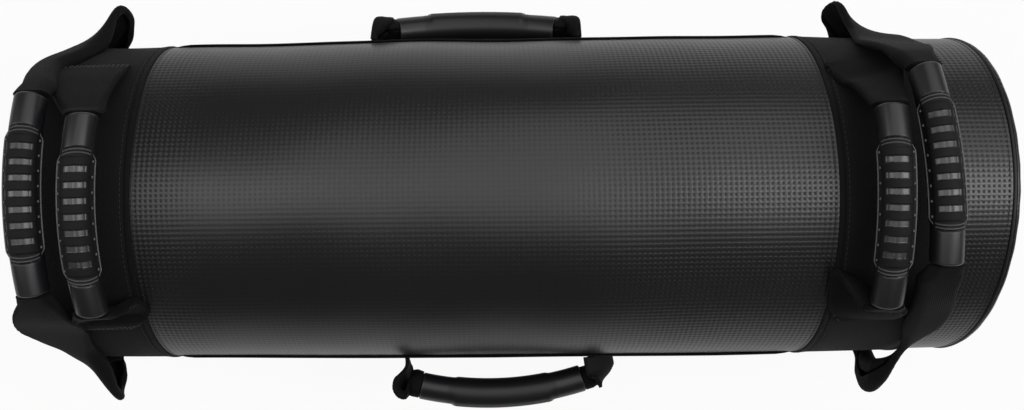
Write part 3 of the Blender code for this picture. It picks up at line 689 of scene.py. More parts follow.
def add_beads(name, paths, sizes, material, body="bag", slot="tie_webbing"):
    """One piece of beads along several paths: stitches, teeth or nubs."""
    curve = bpy.data.curves.new(name + "_paths", "CURVE")
    curve.dimensions = "3D"
    for path in paths:
        spline = curve.splines.new("POLY")
        spline.points.add(len(path) - 1)
        spline.points.foreach_set("co", np.c_[path, np.ones(len(path))].astype(np.float32).ravel())
    guide = linked(name + "_paths", curve)
    beads = guide.modifiers.new("beads", "NODES")
    beads.node_group = BEADS
    labels = ("Spacing", "Bead length", "Bead radius", "Bead finish")
    values = dict(zip(labels, (*sizes, material)))
    for socket in BEADS.interface.items_tree:
        if socket.name in values:
            beads[socket.identifier] = values[socket.name]
    mesh = evaluated_mesh(guide)
    bpy.data.objects.remove(guide)
    mesh.name = name
    mesh.shade_smooth()
    keep(linked(name, mesh), body, slot)


# The bag's skin

def outer_sleeve(material):
    """The leather tube, stepped down under its two woven bands."""
    start, end = LEFT_X + SLEEVE_END, RIGHT_X - SLEEVE_END
    zones = ((start, BAND_EDGE_LEFT, -UNDER_BAND),
             (BAND_EDGE_LEFT + SEAM_GAP, BAND_EDGE_RIGHT, 0.0),
             (BAND_EDGE_RIGHT + SEAM_GAP, RIGHT_BAND_END, -UNDER_BAND),
             (RIGHT_BAND_END + SEAM_GAP, end, 0.0))
    profile = [(x, lift) for low, high, lift in zones
               for x in np.linspace(low, high, max(3, round((high - low) / SKIN_STEP)))]
    profile += [(x, -SKIN_WALL) for x in np.linspace(end, start, 40)]
    return wrap("bag_sleeve", profile, material)


def panel_bulge(inward):
    """How far an end panel stands out, by its share of the way in from the rim."""
    return PANEL_BULGE * (1 - (1 - inward) ** 2) * np.clip(inward * 12, 0, 1)


def end_panel(name, side, material):
    """A leather end with a rounded rim, a little full, gathered where it is sewn."""
    end = side * RIGHT_X
    radius = skin_radius(end)
    core = PANEL_ROUNDING - PANEL_THICKNESS
    flat = np.linspace(radius - PANEL_CENTRE, PANEL_ROUNDING, 30, endpoint=False)
    profile = [(0.0, depth) for depth in flat]
    profile += [(-PANEL_ROUNDING * (1 - cos), PANEL_ROUNDING * (1 - sin))
                for cos, sin in quarter(9)]
    profile += [(-PANEL_ROUNDING + core * cos, PANEL_ROUNDING - core * sin)
                for cos, sin in reversed(quarter(9))]
    profile += [(-PANEL_THICKNESS, depth) for depth in reversed(flat)]
    place, depth = standing(profile)
    turns = np.linspace(0, math.tau, ROUND_SIDES + 1)
    turn = turns[None, :-1]
    grid = skin(end + side * place, turn, -depth)
    gather = GATHER_HEIGHT * np.exp(-((depth - GATHER_PLACE) / GATHER_REACH) ** 2)
    folds = np.cos(GATHER_FOLDS * turn + 1.5 * np.sin(5 * turn))
    grid[..., 0] += side * (panel_bulge(depth / radius) + gather * folds)
    steps = np.hypot(np.diff(place[:, 0]), np.diff(depth[:, 0]))
    reach = np.append(0, np.cumsum(steps))[:, None]
    reach = np.minimum(reach, reach[-1] - reach)
    chart = np.stack([reach * np.sin(turns)[None, :], reach * np.cos(turns)[None, :]], -1)
    return surface(name, grid, material, chart=chart)


def block(name, middle, size, rounding, material):
    """A block with rounded edges."""
    bm = bmesh.new()
    bmesh.ops.create_cube(bm, size=1.0)
    bmesh.ops.scale(bm, vec=size, verts=bm.verts)
    bmesh.ops.translate(bm, vec=middle, verts=bm.verts)
    bmesh.ops.bevel(bm, geom=bm.edges[:], offset=rounding, segments=3, profile=0.5,
                    affect="EDGES")
    return made_of(name, bm, material)


def cut_slot(panel):
    """Cuts the zip's slot through the left end panel."""
    cutter = block("slot_guide", (LEFT_X, 0, AXIS_HEIGHT), (0.02, SLOT_LENGTH, SLOT_HEIGHT),
                   0.0012, LEATHER)
    panel.modifiers.new("slot", "BOOLEAN").object = cutter
    mesh = evaluated_mesh(panel)
    panel.modifiers.clear()
    panel.data = mesh
    bpy.data.objects.remove(cutter)


def piping(name, side, material):
    """The covered cord in the seam between the sleeve and an end panel."""
    middle = side * (RIGHT_X - PANEL_ROUNDING - SEAM_GAP - PIPING_RADIUS)
    profile = [(middle + PIPING_RADIUS * math.cos(t),
                PIPING_PROUD - PIPING_RADIUS + PIPING_RADIUS * math.sin(t))
               for t in np.linspace(0, math.tau, 12, endpoint=False)]
    return wrap(name, profile, material)


def side_strip(name, side, material):
    """A strip of webbing along one side of the bag, between the bands."""
    places = np.linspace(BAND_EDGE_LEFT + HEM_WIDTH, BAND_EDGE_RIGHT - HEM_WIDTH, 90)
    half = STRIP_WIDTH / 2
    across = np.linspace(-half, half, 17)
    low, high = STRIP_FLOAT, STRIP_FLOAT + STRIP_THICKNESS
    section = [(s, high) for s in across] + [(half + 0.0003, (low + high) / 2)]
    section += [(s, low) for s in across[::-1]] + [(-half - 0.0003, (low + high) / 2)]
    offset, lift = (column.T for column in standing(section))
    from_end = np.minimum(places - places[0], places[-1] - places)[:, None]
    lift = lift * (0.12 + 0.88 * smoothstep(from_end / 0.008))
    turn = side * (math.pi / 2 + offset / WIDEST_RADIUS)
    chart = chart_of(places, np.append(offset[0], offset[0, 0]))[..., ::-1]
    return surface(name, skin(places[:, None], turn, lift), material, chart=chart)


# Zip

def rounded_outline(points, rounding, steps=4):
    """An outline with each corner cut to a soft curve."""
    points = np.array(points, float)
    soft = []
    for before, corner, after in zip(np.roll(points, 1, 0), points, np.roll(points, -1, 0)):
        start, end = (corner + (side - corner) * min(0.5, rounding / np.hypot(*(side - corner)))
                      for side in (before, after))
        soft += [(1 - t) ** 2 * start + 2 * t * (1 - t) * corner + t ** 2 * end
                 for t in np.linspace(0, 1, steps)]
    return np.array(soft)


def add_plate(bm, outline, low, high, rounding, hole=None, along=0):
    """A flat plate with softened edges, cut by a hole with as many corners as its outline."""
    others = [axis for axis in range(3) if axis != along]
    rings = []
    for loop in [outline] if hole is None else [outline, hole]:
        for level in (low, high):
            points = np.zeros((len(loop), 3))
            points[:, others] = loop
            points[:, along] = level
            rings.append([bm.verts.new(point) for point in points])

    def add_band(first, second):
        for k in range(len(first)):
            bm.faces.new((first[k - 1], first[k], second[k], second[k - 1]))

    for bottom, top in zip(rings[::2], rings[1::2]):
        add_band(bottom, top)
    edges = [bm.edges.get((ring[k - 1], ring[k])) for ring in rings for k in range(len(ring))]
    if hole is None:
        bm.faces.new(rings[0])
        bm.faces.new(rings[1])
    else:
        add_band(rings[0], rings[2])
        add_band(rings[1], rings[3])
    bmesh.ops.bevel(bm, geom=edges, offset=rounding, segments=2, profile=0.5, affect="EDGES")


def in_order(bm):
    """The same bmesh sorted by place, because several bevels leave another order on each run."""
    direction = Vector((1.0, math.e, math.pi))
    bm.verts.sort(key=lambda vert: vert.co.dot(direction))
    bm.faces.sort(key=lambda face: face.calc_center_median().dot(direction))
    return bm


def zip_tape():
    """The zip's cloth tape and its two rows of teeth."""
    tape_end, half_tape = SLOT_LENGTH / 2 + TAPE_MARGIN, SLOT_HEIGHT / 2 + TAPE_MARGIN
    rows, columns = np.meshgrid(np.linspace(-tape_end, tape_end, 60),
                                np.linspace(-half_tape, half_tape, 33), indexing="ij")
    fold = TAPE_FOLD * np.cos(columns / half_tape * 5 * math.pi)
    middle = np.stack([TAPE_FRONT + TAPE_THICKNESS / 2 + fold, rows, AXIS_HEIGHT + columns], -1)
    tape = strap_mesh("zip_cloth_tape", middle, ZIP_CLOTH, TAPE_THICKNESS / 2 - TAPE_FOLD)
    keep(tape, "bag", "zip_tape_cloth", "zip_tape")
    run = TEETH_END - 0.002
    tooth_rows = [np.array([((TEETH_FRONT + TAPE_FRONT) / 2, end + side * TOOTH_PITCH / 4,
                             AXIS_HEIGHT + side * TOOTH_PITCH / 2) for end in (-run, run)])
                  for side in (-1, 1)]
    add_beads("zip_coil_teeth", tooth_rows, TOOTH, METAL, slot="zip_metal")


def slot_stitches():
    """Two rounds of stitches in the leather about the zip's slot."""
    rounds = []
    for margin in SLOT_STITCH_MARGINS:
        y, z = SLOT_LENGTH / 2 + margin, SLOT_HEIGHT / 2 + margin
        corners = rounded_outline(((-y, -z), (y, -z), (y, z), (-y, z)), 0.003)
        corners = np.concatenate([corners, corners[:1]])
        y, z = np.concatenate([np.linspace(a, b, 24) for a, b in zip(corners, corners[1:])]).T
        bulge = panel_bulge(1 - np.hypot(y, z) / LEFT_RADIUS)
        rounds.append(np.stack([LEFT_X - bulge - 0.0001, y, AXIS_HEIGHT + z], -1))
    add_beads("zip_slot_stitches", rounds, SLOT_STITCH, THREAD)


def slider_and_puller():
    """The slider with its lugs and pin, and the puller with its hole, at the closed end."""
    rest = np.array([SLIDER_Y, AXIS_HEIGHT])
    half, tall = SLIDER_LENGTH / 2, SLIDER_HEIGHT / 2
    waist = ((-half, -0.7 * tall), (-0.3 * half, -0.8 * tall), (half, -tall),
             (half, tall), (-0.3 * half, 0.8 * tall), (-half, 0.7 * tall))
    bm = bmesh.new()
    add_plate(bm, rounded_outline(waist, 0.0018) + rest, SLIDER_FRONT, SLIDER_BACK, 0.0005)
    foot, tip = SLIDER_FRONT + 0.0004, SLIDER_FRONT - LUG_REACH
    lug = rounded_outline(((foot, -0.0027), (tip, -0.0019), (tip, 0.0019), (foot, 0.0027)), 0.0012)
    for side in (-1, 1):
        near, far = sorted((SLIDER_Y + side * half, SLIDER_Y + side * (half - LUG_WIDTH)))
        add_plate(bm, lug + [0, AXIS_HEIGHT], near, far, 0.0003, along=1)
    turns = np.linspace(0, math.tau, 12, endpoint=False)
    pin = PIN_RADIUS * np.stack([np.cos(turns), np.sin(turns)], -1) + [PIN_X, AXIS_HEIGHT]
    add_plate(bm, pin, SLIDER_Y - half + 0.001, SLIDER_Y + half - 0.001, 0.0001, along=1)
    keep(made_of("zip_slider_cast", in_order(bm), METAL), "zip_slider_body", "zip_metal",
         "zip_slider")

    narrow, wide = half - LUG_WIDTH - SEAM_GAP, PULLER_WIDTH / 2
    shoulder, tip = -tall - PULLER_TOP, PULLER_TOP - PULLER_LENGTH
    outline = ((-narrow, PULLER_TOP), (narrow, PULLER_TOP), (narrow, shoulder),
               (wide, shoulder - 0.002), (wide, tip), (-wide, tip), (-wide, shoulder - 0.002),
               (-narrow, shoulder))
    outline = rounded_outline(outline, 0.0024)
    angle = np.arctan2(outline[:, 0], -(outline[:, 1] + PULLER_HOLE_DROP)) + math.pi / 2
    hole = np.stack([-PULLER_HOLE_WIDTH * np.cos(angle),
                     -PULLER_HOLE_DROP - PULLER_HOLE_HEIGHT * np.sin(angle)], -1)
    bm = bmesh.new()
    add_plate(bm, outline + rest, PIN_X - PULLER_THICKNESS / 2, PIN_X + PULLER_THICKNESS / 2,
              0.0004, hole=hole + rest)
    keep(made_of("zip_puller_cast", bm, METAL), "zip_puller_body", "zip_metal", "zip_puller")


def zip_stops():
    """The clamps at both ends of the teeth."""
    for node, side in (("zip_closed_stop", 1), ("zip_open_stop", -1)):
        place = ((SLIDER_FRONT + SLIDER_BACK) / 2, side * (TEETH_END - STOP_LENGTH / 2),
                 AXIS_HEIGHT)
        keep(block(node + "_clamp", place, (SLIDER_BASE, STOP_LENGTH, TEETH_HEIGHT), 0.0006,
                   METAL), "bag", "zip_metal", node)


# Filling

def turned_shape(name, profile, material, ripple=None):
    """A closed shape turned inside the bag from (x, share of the bag's radius) points.

    The ripple gives each point's push along the bag and outward.
    """
    x, share = standing(profile)
    turns = np.linspace(0, math.tau, 97)
    x, share = (column * np.ones((1, 96)) for column in (x, share))
    lift = skin_radius(x) * (share - 1)
    if ripple is not None:
        along, outward = ripple(x, share, turns[None, :-1])
        x, lift = x + along, lift + outward
    chart = chart_of(np.linspace(0, 0.3, len(profile)), turns * 0.1)
    return surface(name, skin(x, turns[None, :-1], lift), material, chart=chart)


def end_pad(name, side, inset):
    """A round foam pad behind an end panel, thinner towards its rounded rim."""
    radius = skin_radius(side * RIGHT_X)
    rim, rounding = 1 - SACK_DEPTH / radius, END_PAD_ROUNDING
    face = [(0.0, share) for share in np.linspace(CENTRE_SHARE, rim - rounding / radius, 16,
                                                  endpoint=False)]
    face += [(rounding * (1 - cos), rim - rounding / radius * (1 - sin))
             for cos, sin in quarter(6)]
    half = [(depth + 0.0012 * share ** 2, share) for depth, share in face]
    far = [(END_PAD_THICKNESS - depth, share) for depth, share in reversed(half)]
    pad = turned_shape(name, [(side * (RIGHT_X - inset - depth), share)
                              for depth, share in half + far], FOAM)
    return pad


def sand_sack(number, start, pitch):
    """One sand sack: a full body, soft shoulders, and a neck gathered by its tie."""
    top = start + pitch - SEAM_GAP
    shoulder = top - NECK_LENGTH
    body = shoulder - start
    full = 1 - SACK_DEPTH / WIDEST_RADIUS
    drop, neck, flare = (length / WIDEST_RADIUS for length in
                         (SACK_SHOULDER, NECK_RADIUS, NECK_RADIUS + NECK_FLARE))
    low, bend = full - drop, shoulder - 0.004
    rows = [(start + 0.0004, share) for share in np.linspace(CENTRE_SHARE, low, 14)]
    rows += [(start + body * 0.12 * (1 - cos), full - drop * (1 - sin))
             for cos, sin in quarter(9, 0.15)]
    rows += [(start + body * along, full) for along in np.linspace(0.15, 0.88, 26)]
    rows += [(bend - body * 0.10 * (1 - sin), full - drop * (1 - cos))
             for cos, sin in quarter(10)]
    rows += [(bend + 0.004 * along, low + (neck - low) * along)
             for along in np.linspace(0.08, 1.0, 16)]
    rows += [(shoulder + along, neck) for along in np.linspace(0.001, TIE_WIDTH + 0.0006, 6)]
    rows += [(top - 0.0108 + 0.0104 * along, neck + (flare - neck - 0.010) * along)
             for along in np.linspace(0.1, 1.0, 8)]
    rows += [(top - 0.0012, share) for share in np.linspace(flare - 0.03, CENTRE_SHARE, 6)]

    def gathered(x, share, turns):
        near = np.exp(-((x - shoulder) / 0.022) ** 2) * smoothstep((full - share) / 0.08)
        fold = np.cos(17 * turns + 2.2 * np.sin(3 * turns + number) + 14 * share)
        ruffle = smoothstep((x - shoulder - TIE_WIDTH - 0.001) / 0.006) * (share > neck * 1.02)
        slack = np.sin(x / 0.031 + number) * np.cos(4 * turns + x / 0.05 + number) - 1
        outward = 0.0008 * slack * smoothstep((share - 0.8) / 0.1) - 0.0006 * near
        return (-0.0009 * near * (1 + fold) * (share > neck * 1.1),
                outward + 0.0009 * ruffle * fold)

    sack = turned_shape(f"sand_sack_{number}", rows, FILLER_CLOTH, ripple=gathered)
    keep(sack, "bag", "filler_cloth", f"filler_bag_{number}")

    band = (TIE_WIDTH - 0.0008) / (TIE_TURNS + 1)
    turns, columns = np.meshgrid(np.linspace(0, math.tau * TIE_TURNS, 48 * TIE_TURNS + 1),
                                 np.linspace(-band / 2, band / 2, 7), indexing="ij")
    x = shoulder + SEAM_GAP + 0.0003 + band / 2 + turns / math.tau * band + columns
    radius = NECK_RADIUS + SEAM_GAP + 0.0012 + 0.0002 * np.cos(columns / band * math.pi)
    tie = strap_mesh(f"sack_tie_{number}", skin(x, turns, radius - skin_radius(x)), TIE_WEBBING,
                     0.0005)
    keep(tie, "bag", "tie_webbing", f"filler_tie_{number}")


def filling():
    """Foam liner, end pads and the row of sand sacks."""
    start = LEFT_X + SLEEVE_END
    profile = layer_profile(start, -start, -LINER_INSIDE, -LINER_OUTSIDE, 0.0010, step=0.010)
    liner = wrap("foam_lining_tube", profile, FOAM, sides=120)
    keep(liner, "bag", "padding_foam", "foam_liner")
    behind_panel = PANEL_THICKNESS + SEAM_GAP
    behind_tape = behind_panel + TAPE_THICKNESS + SEAM_GAP
    for node, side, inset in (("left_end_pad", -1, behind_tape), ("right_end_pad", 1, behind_panel)):
        keep(end_pad(node + "_foam", side, inset), "bag", "padding_foam", node)
    first = LEFT_X + behind_tape + END_PAD_THICKNESS + SEAM_GAP
    pitch = -2 * first / SACK_COUNT
    for number in range(SACK_COUNT):
        sand_sack(number + 1, first + pitch * number, pitch)


# Handles

class Handle:
    """A handle's place: a point of its own frame, and how far it follows the handle.

    The side is 0 for a handle across the bag. The root share says how high over the bag's axis it
    hinges, as a share of the seat's height.
    """

    def __init__(self, name, x, side, root_share, bow, twist, **turns):
        self.name = name
        self.x = x
        self.side = side
        self.slack_side = -1 if x > 0 else 1
        self.bow = bow
        self.twist = math.radians(twist)
        self.turns = turns
        seat = skin_radius(x) + (STRIP_FLOAT + STRIP_THICKNESS if side else 0.0)
        self.mid_height = seat + GRIP_STANDOFF
        self.end_height = grip_arc(1.0, self.mid_height)[0][1]
        self.hinge_height = seat * root_share
        self.free_height = self.hinge_height + (2 * SEAT_HEIGHT if side else 0.0)

    def turned(self, points, axis, label, share, height=0.0):
        """Points turned about one axis through a height, by their share of one of its turns."""
        middle = np.array([0, height, 0])
        return rotate(points - middle, axis, self.turns[label] * share) + middle

    def placed(self, points, share=None):
        """Points of the handle's own frame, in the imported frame."""
        if share is None:
            share = smoothstep((points[..., 1] - self.free_height)
                               / (self.end_height - self.free_height))
        bent = np.maximum(1 - (points[..., :1] / (GRIP_CHORD / 2)) ** 2, 0) * self.bow
        points = points + bent * np.array([0, 0, 1])
        if self.side:
            points = self.turned(points, 2, "tilt", share, self.mid_height)
            points = self.turned(points, 0, "swing", share, self.hinge_height)
            return np.stack([self.x + self.side * points[..., 0], self.side * points[..., 1],
                             AXIS_HEIGHT + points[..., 2]], -1)
        points = self.turned(points, 1, "yaw", -share)
        points = self.turned(points, 2, "roll", -share)
        points = self.turned(points, 0, "lean", share, self.hinge_height)
        return np.stack([self.x + points[..., 2], points[..., 0], AXIS_HEIGHT + points[..., 1]], -1)


def grip_arc(share, mid_height):
    """Centre and outward direction on a grip's arc; the share runs from -1 to 1."""
    angle = GRIP_HALF_ANGLE * np.asarray(share, float)
    outward = np.stack([np.sin(angle), np.cos(angle), 0 * angle], -1)
    return np.array([0, mid_height - GRIP_ARC_RADIUS, 0]) + outward * GRIP_ARC_RADIUS, outward


def round_grip(handle, share, turn, radius):
    """Points at an angle and a radius round a grip's arc."""
    centre, outward = grip_arc(share, handle.mid_height)
    turn, radius = (np.asarray(value, float)[..., None] for value in (turn, radius))
    return centre + (outward * np.cos(turn) + np.array([0, 0, 1.0]) * np.sin(turn)) * radius


def ridge(distance, width):
    """A rounded ridge of height 1 at distance 0."""
    return np.exp(-(2.0 * distance / width) ** 2)


def grip(handle, material):
    """A moulded banana grip: on its outer face satin collars, fine rings, and ribs with glossy
    windows between them; a lip along each side, and a plain underside."""
    half = GRIP_LENGTH / 2 - GRIP_INSET
    around = np.concatenate([np.linspace(-1.2, 1.2, 64), np.linspace(1.2, 5.08, 42)[1:-1]])
    around = (around + math.pi) % math.tau - math.pi
    place, turn = np.meshgrid(np.linspace(-half, half, 330), around, indexing="ij")
    side = np.abs(turn)
    from_end, from_ribs = half - np.abs(place), RIBBED_LENGTH / 2 - np.abs(place)
    inside = smoothstep(from_ribs / 0.0007 + 0.5)
    phase = (place + RIBBED_LENGTH / 2) / RIB_PITCH - RIB_SHARE / 2
    from_rib = np.abs(phase - np.round(phase)) * RIB_PITCH
    rib = smoothstep((RIB_PITCH * RIB_SHARE / 2 - from_rib) / RIB_SOFTNESS + 0.5) * inside
    face = smoothstep((FACE_EDGE - side) / 0.16)
    window = (1 - rib) * inside * smoothstep((WINDOW_EDGE - side) / 0.09 + 0.5)
    half_width = GRIP_HALF_WIDTH + GRIP_BELLY * smoothstep(from_ribs / 0.006 + 0.8)
    radius = 1 / np.hypot(np.sin(turn) / half_width, np.cos(turn) / GRIP_HALF_HEIGHT)
    radius -= window * (WINDOW_DEPTH + WINDOW_GROOVE * np.exp(-(turn / 0.09) ** 2))
    radius += (RIB_HEIGHT * rib + FACE_HEIGHT * inside * (1 - window)) * face
    from_rings = from_ribs + RING_START - RING_BEND * np.minimum(side / 0.9, 1.2) ** 2
    rings, lines = (sum(ridge(from_rings - step, width) for step in RING_STEPS)
                    for width in (RING_WIDTH, LINE_WIDTH))
    radius += RING_HEIGHT * (rings - ridge(from_rings + 0.0012, 0.0009)) * face
    ledge = smoothstep((side - LEDGE_START) / 0.14) * smoothstep(2.7 - side)
    radius += LEDGE_HEIGHT * ledge * smoothstep((from_ribs + 0.0020) / 0.0035)
    radius -= RIM_DEPTH * np.clip(1 - from_end / RIM_LENGTH, 0, 1) ** 2
    collar = smoothstep(-(from_ribs + COLLAR_START) / 0.0014 + 0.5)
    outer = round_grip(handle, place / (GRIP_LENGTH / 2), turn + handle.twist, radius)
    ends = np.array([1.0, 0.9, 0.5, 0.0, -0.5, -0.9, -1.0])[:, None] * (2 * half / GRIP_LENGTH)
    bore = round_grip(handle, *np.broadcast_arrays(ends, around + handle.twist), GRIP_BORE_RADIUS)
    # The rings' crest lines and the end rims get a painted highlight through their colour.
    values = {"window": window, "collar": np.maximum(collar, (1 - face) * 0.7),
              "rim_and_ring_highlight": lines * face + 0.15 * ridge(from_end - 0.0010, 0.0012)}
    none = np.zeros(bore.shape[:2])
    values = {label: np.concatenate([numbers, none]) for label, numbers in values.items()}
    return surface(handle.name + "_moulded_grip", handle.placed(np.concatenate([outer, bore]), 1.0),
                   material, closed_rows=True, values=values)


def nub_paths(handle):
    """Short runs at every rib, just inside the lip on both sides."""
    paths = []
    for rib in range(RIB_COUNT):
        place = -RIBBED_LENGTH / 2 + RIB_PITCH * (rib + RIB_SHARE / 2)
        for turn in (handle.twist - NUB_TURN, handle.twist + NUB_TURN):
            middle = round_grip(handle, place / (GRIP_LENGTH / 2), turn, GRIP_HALF_HEIGHT)
            ends = np.stack([middle - [0.0002, 0, 0], middle + [0.0002, 0, 0]])
            paths.append(handle.placed(ends, 1.0))
    return paths


def lip(handle, side, name):
    """The thin moulded bead along one side of the ribbed part, its ends tapered and hooked in,
    coloured light grey as a painted highlight.
    """
    share = np.linspace(-1, 1, 60)
    hook = smoothstep((np.abs(share) - 0.90) / 0.10)
    path = round_grip(handle, share * (RIBBED_LENGTH / 2 + 0.0020) / (GRIP_LENGTH / 2),
                      handle.twist + side * (LIP_TURN - 0.28 * hook), 0.0109 - 0.0006 * hook)
    path = handle.placed(path, 1.0)
    along = unit(np.gradient(path, axis=0))
    first = unit(np.cross(along, [0.31, 0.22, 0.92]))
    turns = np.linspace(0, math.tau, 8, endpoint=False)[None, :, None]
    steps = np.arange(len(path))
    radius = LIP_RADIUS * np.minimum(1, 0.3 + np.minimum(steps, steps[::-1]) / 4)
    ring = first[:, None] * np.cos(turns) + np.cross(along, first)[:, None] * np.sin(turns)
    return surface(name, path[:, None] + ring * radius[:, None, None], HIGHLIGHT_RUBBER)


def folded(across, width):
    """Sideways and downward place of a strip's points, its edges rolled under to a width."""
    amount = smoothstep((WEBBING_WIDTH - width) / 0.008)
    roll = FOLD_RADIUS + (ROLL_RADIUS - FOLD_RADIUS) * smoothstep((0.034 - width) / 0.012)
    roll = min(roll, 0.3 * width)
    bend = roll * np.maximum(amount, 0.02)
    flat = width / 2 - roll * amount
    over = np.abs(across) - flat
    arc = math.pi * bend
    angle = np.clip(over / bend, 0, math.pi)
    under = np.maximum(over - arc, 0)
    most = np.maximum(WEBBING_WIDTH / 2 - flat - arc, 1e-6)
    under = under * np.minimum(1, (flat - 0.0015) / most)
    sideways = np.where(over < 0, np.abs(across), flat + bend * np.sin(angle)) - under
    return np.sign(across) * sideways, bend * (1 - np.cos(angle)) + 0.02 * under


def gathered_rows(handle, shares, width, rise, flattened, spread):
    """Rows of the webbing gathered to a width, at shares of a grip's arc."""
    centre, outward = grip_arc(shares, handle.mid_height)
    sideways, down = folded(STRAP_COLUMNS, width)
    rows = centre[:, None] + outward[:, None] * (rise - down * flattened)[:, None]
    rows[..., 2] += sideways * spread * handle.slack_side
    return rows


def curled_rows(handle):
    """The strap curled into a tube round its core where it enters a side grip."""
    turn = 0.94 * math.pi * STRAP_COLUMNS / STRAP_COLUMNS[-1]
    return np.array([round_grip(handle, share, turn, radius) for share, radius in CURLS])


def across_rows(handle, end, hug):
    """Rows of one half of an across-the-bag strap, from its seam to its grip."""
    share = np.linspace(0, 1, 41)
    points = []
    rows = smooth_rows(STRAP_ROWS[f"{handle.name}_{end}"])
    for turn, taut_across, taut_rise, slack_across, slack_rise, *slip in rows:
        middle = (taut_across + slack_across) / 2
        gap = slack_rise - taut_rise
        bow = smoothstep(abs(gap) / 12) * (hug if gap > 0 else 0.8)
        high_across = slack_across if gap > 0 else taut_across
        corner = (middle + bow * (high_across - middle),
                  (taut_rise + slack_rise) / 2 - bow * abs(gap) / 2)
        curve = [MM * ((1 - share) ** 2 * a + 2 * share * (1 - share) * b + share ** 2 * c)
                 for a, b, c in zip((taut_across, taut_rise), corner, (slack_across, slack_rise))]
        lengths = np.append(0, np.cumsum(np.hypot(*np.diff(curve, axis=1))))
        width = min(lengths[-1], WEBBING_WIDTH)
        sideways, down = folded(STRAP_COLUMNS, width)
        along = sideways / width + 0.5
        slope = np.gradient(np.array(curve), axis=1)
        slope /= np.hypot(*slope)
        across, rise, lean_across, lean_rise = (
            np.interp(along * lengths[-1], lengths, values) for values in (*curve, *slope))
        across = (across + lean_rise * down) * handle.slack_side
        rise = rise - lean_across * down
        angle = np.radians(turn + sum(slip) * along)
        x = handle.x + across
        calm = 1 - smoothstep(rise / 0.012)
        radius = skin_radius(x) + swell(x, angle) * calm + SEAT_HEIGHT + rise
        points.append(np.stack([radius * np.sin(angle), radius * np.cos(angle), across], -1))
    return np.array(points)


def side_rows(handle, end):
    """Rows of one end of a side handle's strap, from its seam to its grip."""
    grip_end = grip_arc(1.0, handle.mid_height)[0][0]
    seat = handle.hinge_height + HALF_THICKNESS
    points = []
    rows = smooth_rows(SIDE_STRAP_ROWS[f"{handle.name}_{end}"])
    for upper_reach, upper_rise, lower_reach, lower_rise, width in rows:
        sideways, down = folded(STRAP_COLUMNS, width * WEBBING_WIDTH)
        share = 0.5 - sideways / WEBBING_WIDTH
        reach = grip_end + MM * (upper_reach + (lower_reach - upper_reach) * share)
        rise = MM * (upper_rise + (lower_rise - upper_rise) * share)
        calm = 1 - smoothstep(rise / 0.010)
        sag = (seat - np.sqrt(seat ** 2 - sideways ** 2)) * calm
        points.append(np.stack([reach - 0.3 * down, seat + rise - down - sag, sideways], -1))
    return np.array(points)


def strap_surface(handle, first, last, mouth, seat):
    """A strap's middle surface from seam to seam, through its grip's mouth, bore and far mouth."""
    first, last = (np.concatenate([half, half[-1:] * 0.5 + mouth[:1] * 0.5, mouth])
                   for half in (first, last))
    core = gathered_rows(handle, np.linspace(0.97, -0.97, 9), CORE_WIDTH, CORE_RISE, 0.5, 0.45)
    rows = np.concatenate([first, core, last[::-1] * np.array([-1.0, 1, 1])])
    return kept_off_the_bag(handle.placed(rows), seat)


def kept_off_the_bag(points, seat):
    """Points pushed straight out where a strap would sink into the bag."""
    spoke = points - np.array([0, 0, AXIS_HEIGHT])
    spoke[..., 0] = 0
    length = np.linalg.norm(spoke, axis=-1)
    turn = np.arctan2(spoke[..., 1], spoke[..., 2])
    least = skin_radius(points[..., 0]) + swell(points[..., 0], turn) + seat
    push = np.maximum(least - length, 0) / length
    return points + spoke * push[..., None]


def normals(middle):
    """Directions straight out of a strip's middle surface."""
    return unit(np.cross(np.gradient(middle, axis=0), np.gradient(middle, axis=1)))


def run_of(points):
    """Lengths along a path of points."""
    return np.append(0, np.cumsum(np.linalg.norm(np.diff(points, axis=0), axis=-1)))


def strap_mesh(name, middle, material, half=HALF_THICKNESS):
    """A strip with real thickness round its middle surface."""
    normal = normals(middle)
    edge = unit(np.gradient(middle, axis=1)) * half * 0.7
    grid = np.concatenate([middle + normal * half, middle[:, -1:] + edge[:, -1:],
                           (middle - normal * half)[:, ::-1], middle[:, :1] - edge[:, :1]], axis=1)
    columns = run_of(middle[0])
    columns -= columns[-1] / 2
    widths = np.concatenate([columns, columns[-1:], columns[::-1], columns[:1], columns[:1]])
    chart = chart_of(run_of(middle[:, middle.shape[1] // 2]), widths)[..., ::-1]
    return surface(name, grid, material, chart=chart)


def stitch_row(middle, row):
    """Points for stitches across a strap's outer face, at one of its rows."""
    face = (middle + normals(middle) * (HALF_THICKNESS + 0.0002))[row]
    places = (np.linspace(-0.94, 0.94, 30) + 1) / 2 * (len(face) - 1)
    return np.stack([np.interp(places, np.arange(len(face)), values) for values in face.T], -1)


def dress_handle(handle, middle, start, end):
    """Strap, grip, nubs and lips of one handle."""
    body = handle.name + "_handle"
    strap = strap_mesh(handle.name + "_strap", middle, WEBBING)
    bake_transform(strap)
    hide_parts(handle.name + "_webbing")
    keep(grip(handle, GRIP_RUBBER), body, "grip_rubber", handle.name + "_grip")
    # Nubs and lips in the lighter rubber, as a painted highlight.
    add_beads(handle.name + "_nubs", nub_paths(handle), NUB, HIGHLIGHT_RUBBER, body, "grip_rubber")
    for side, label in ((-1, "near"), (1, "far")):
        keep(lip(handle, side, f"{handle.name}_{label}_lip"), body, "grip_rubber")


# Scene

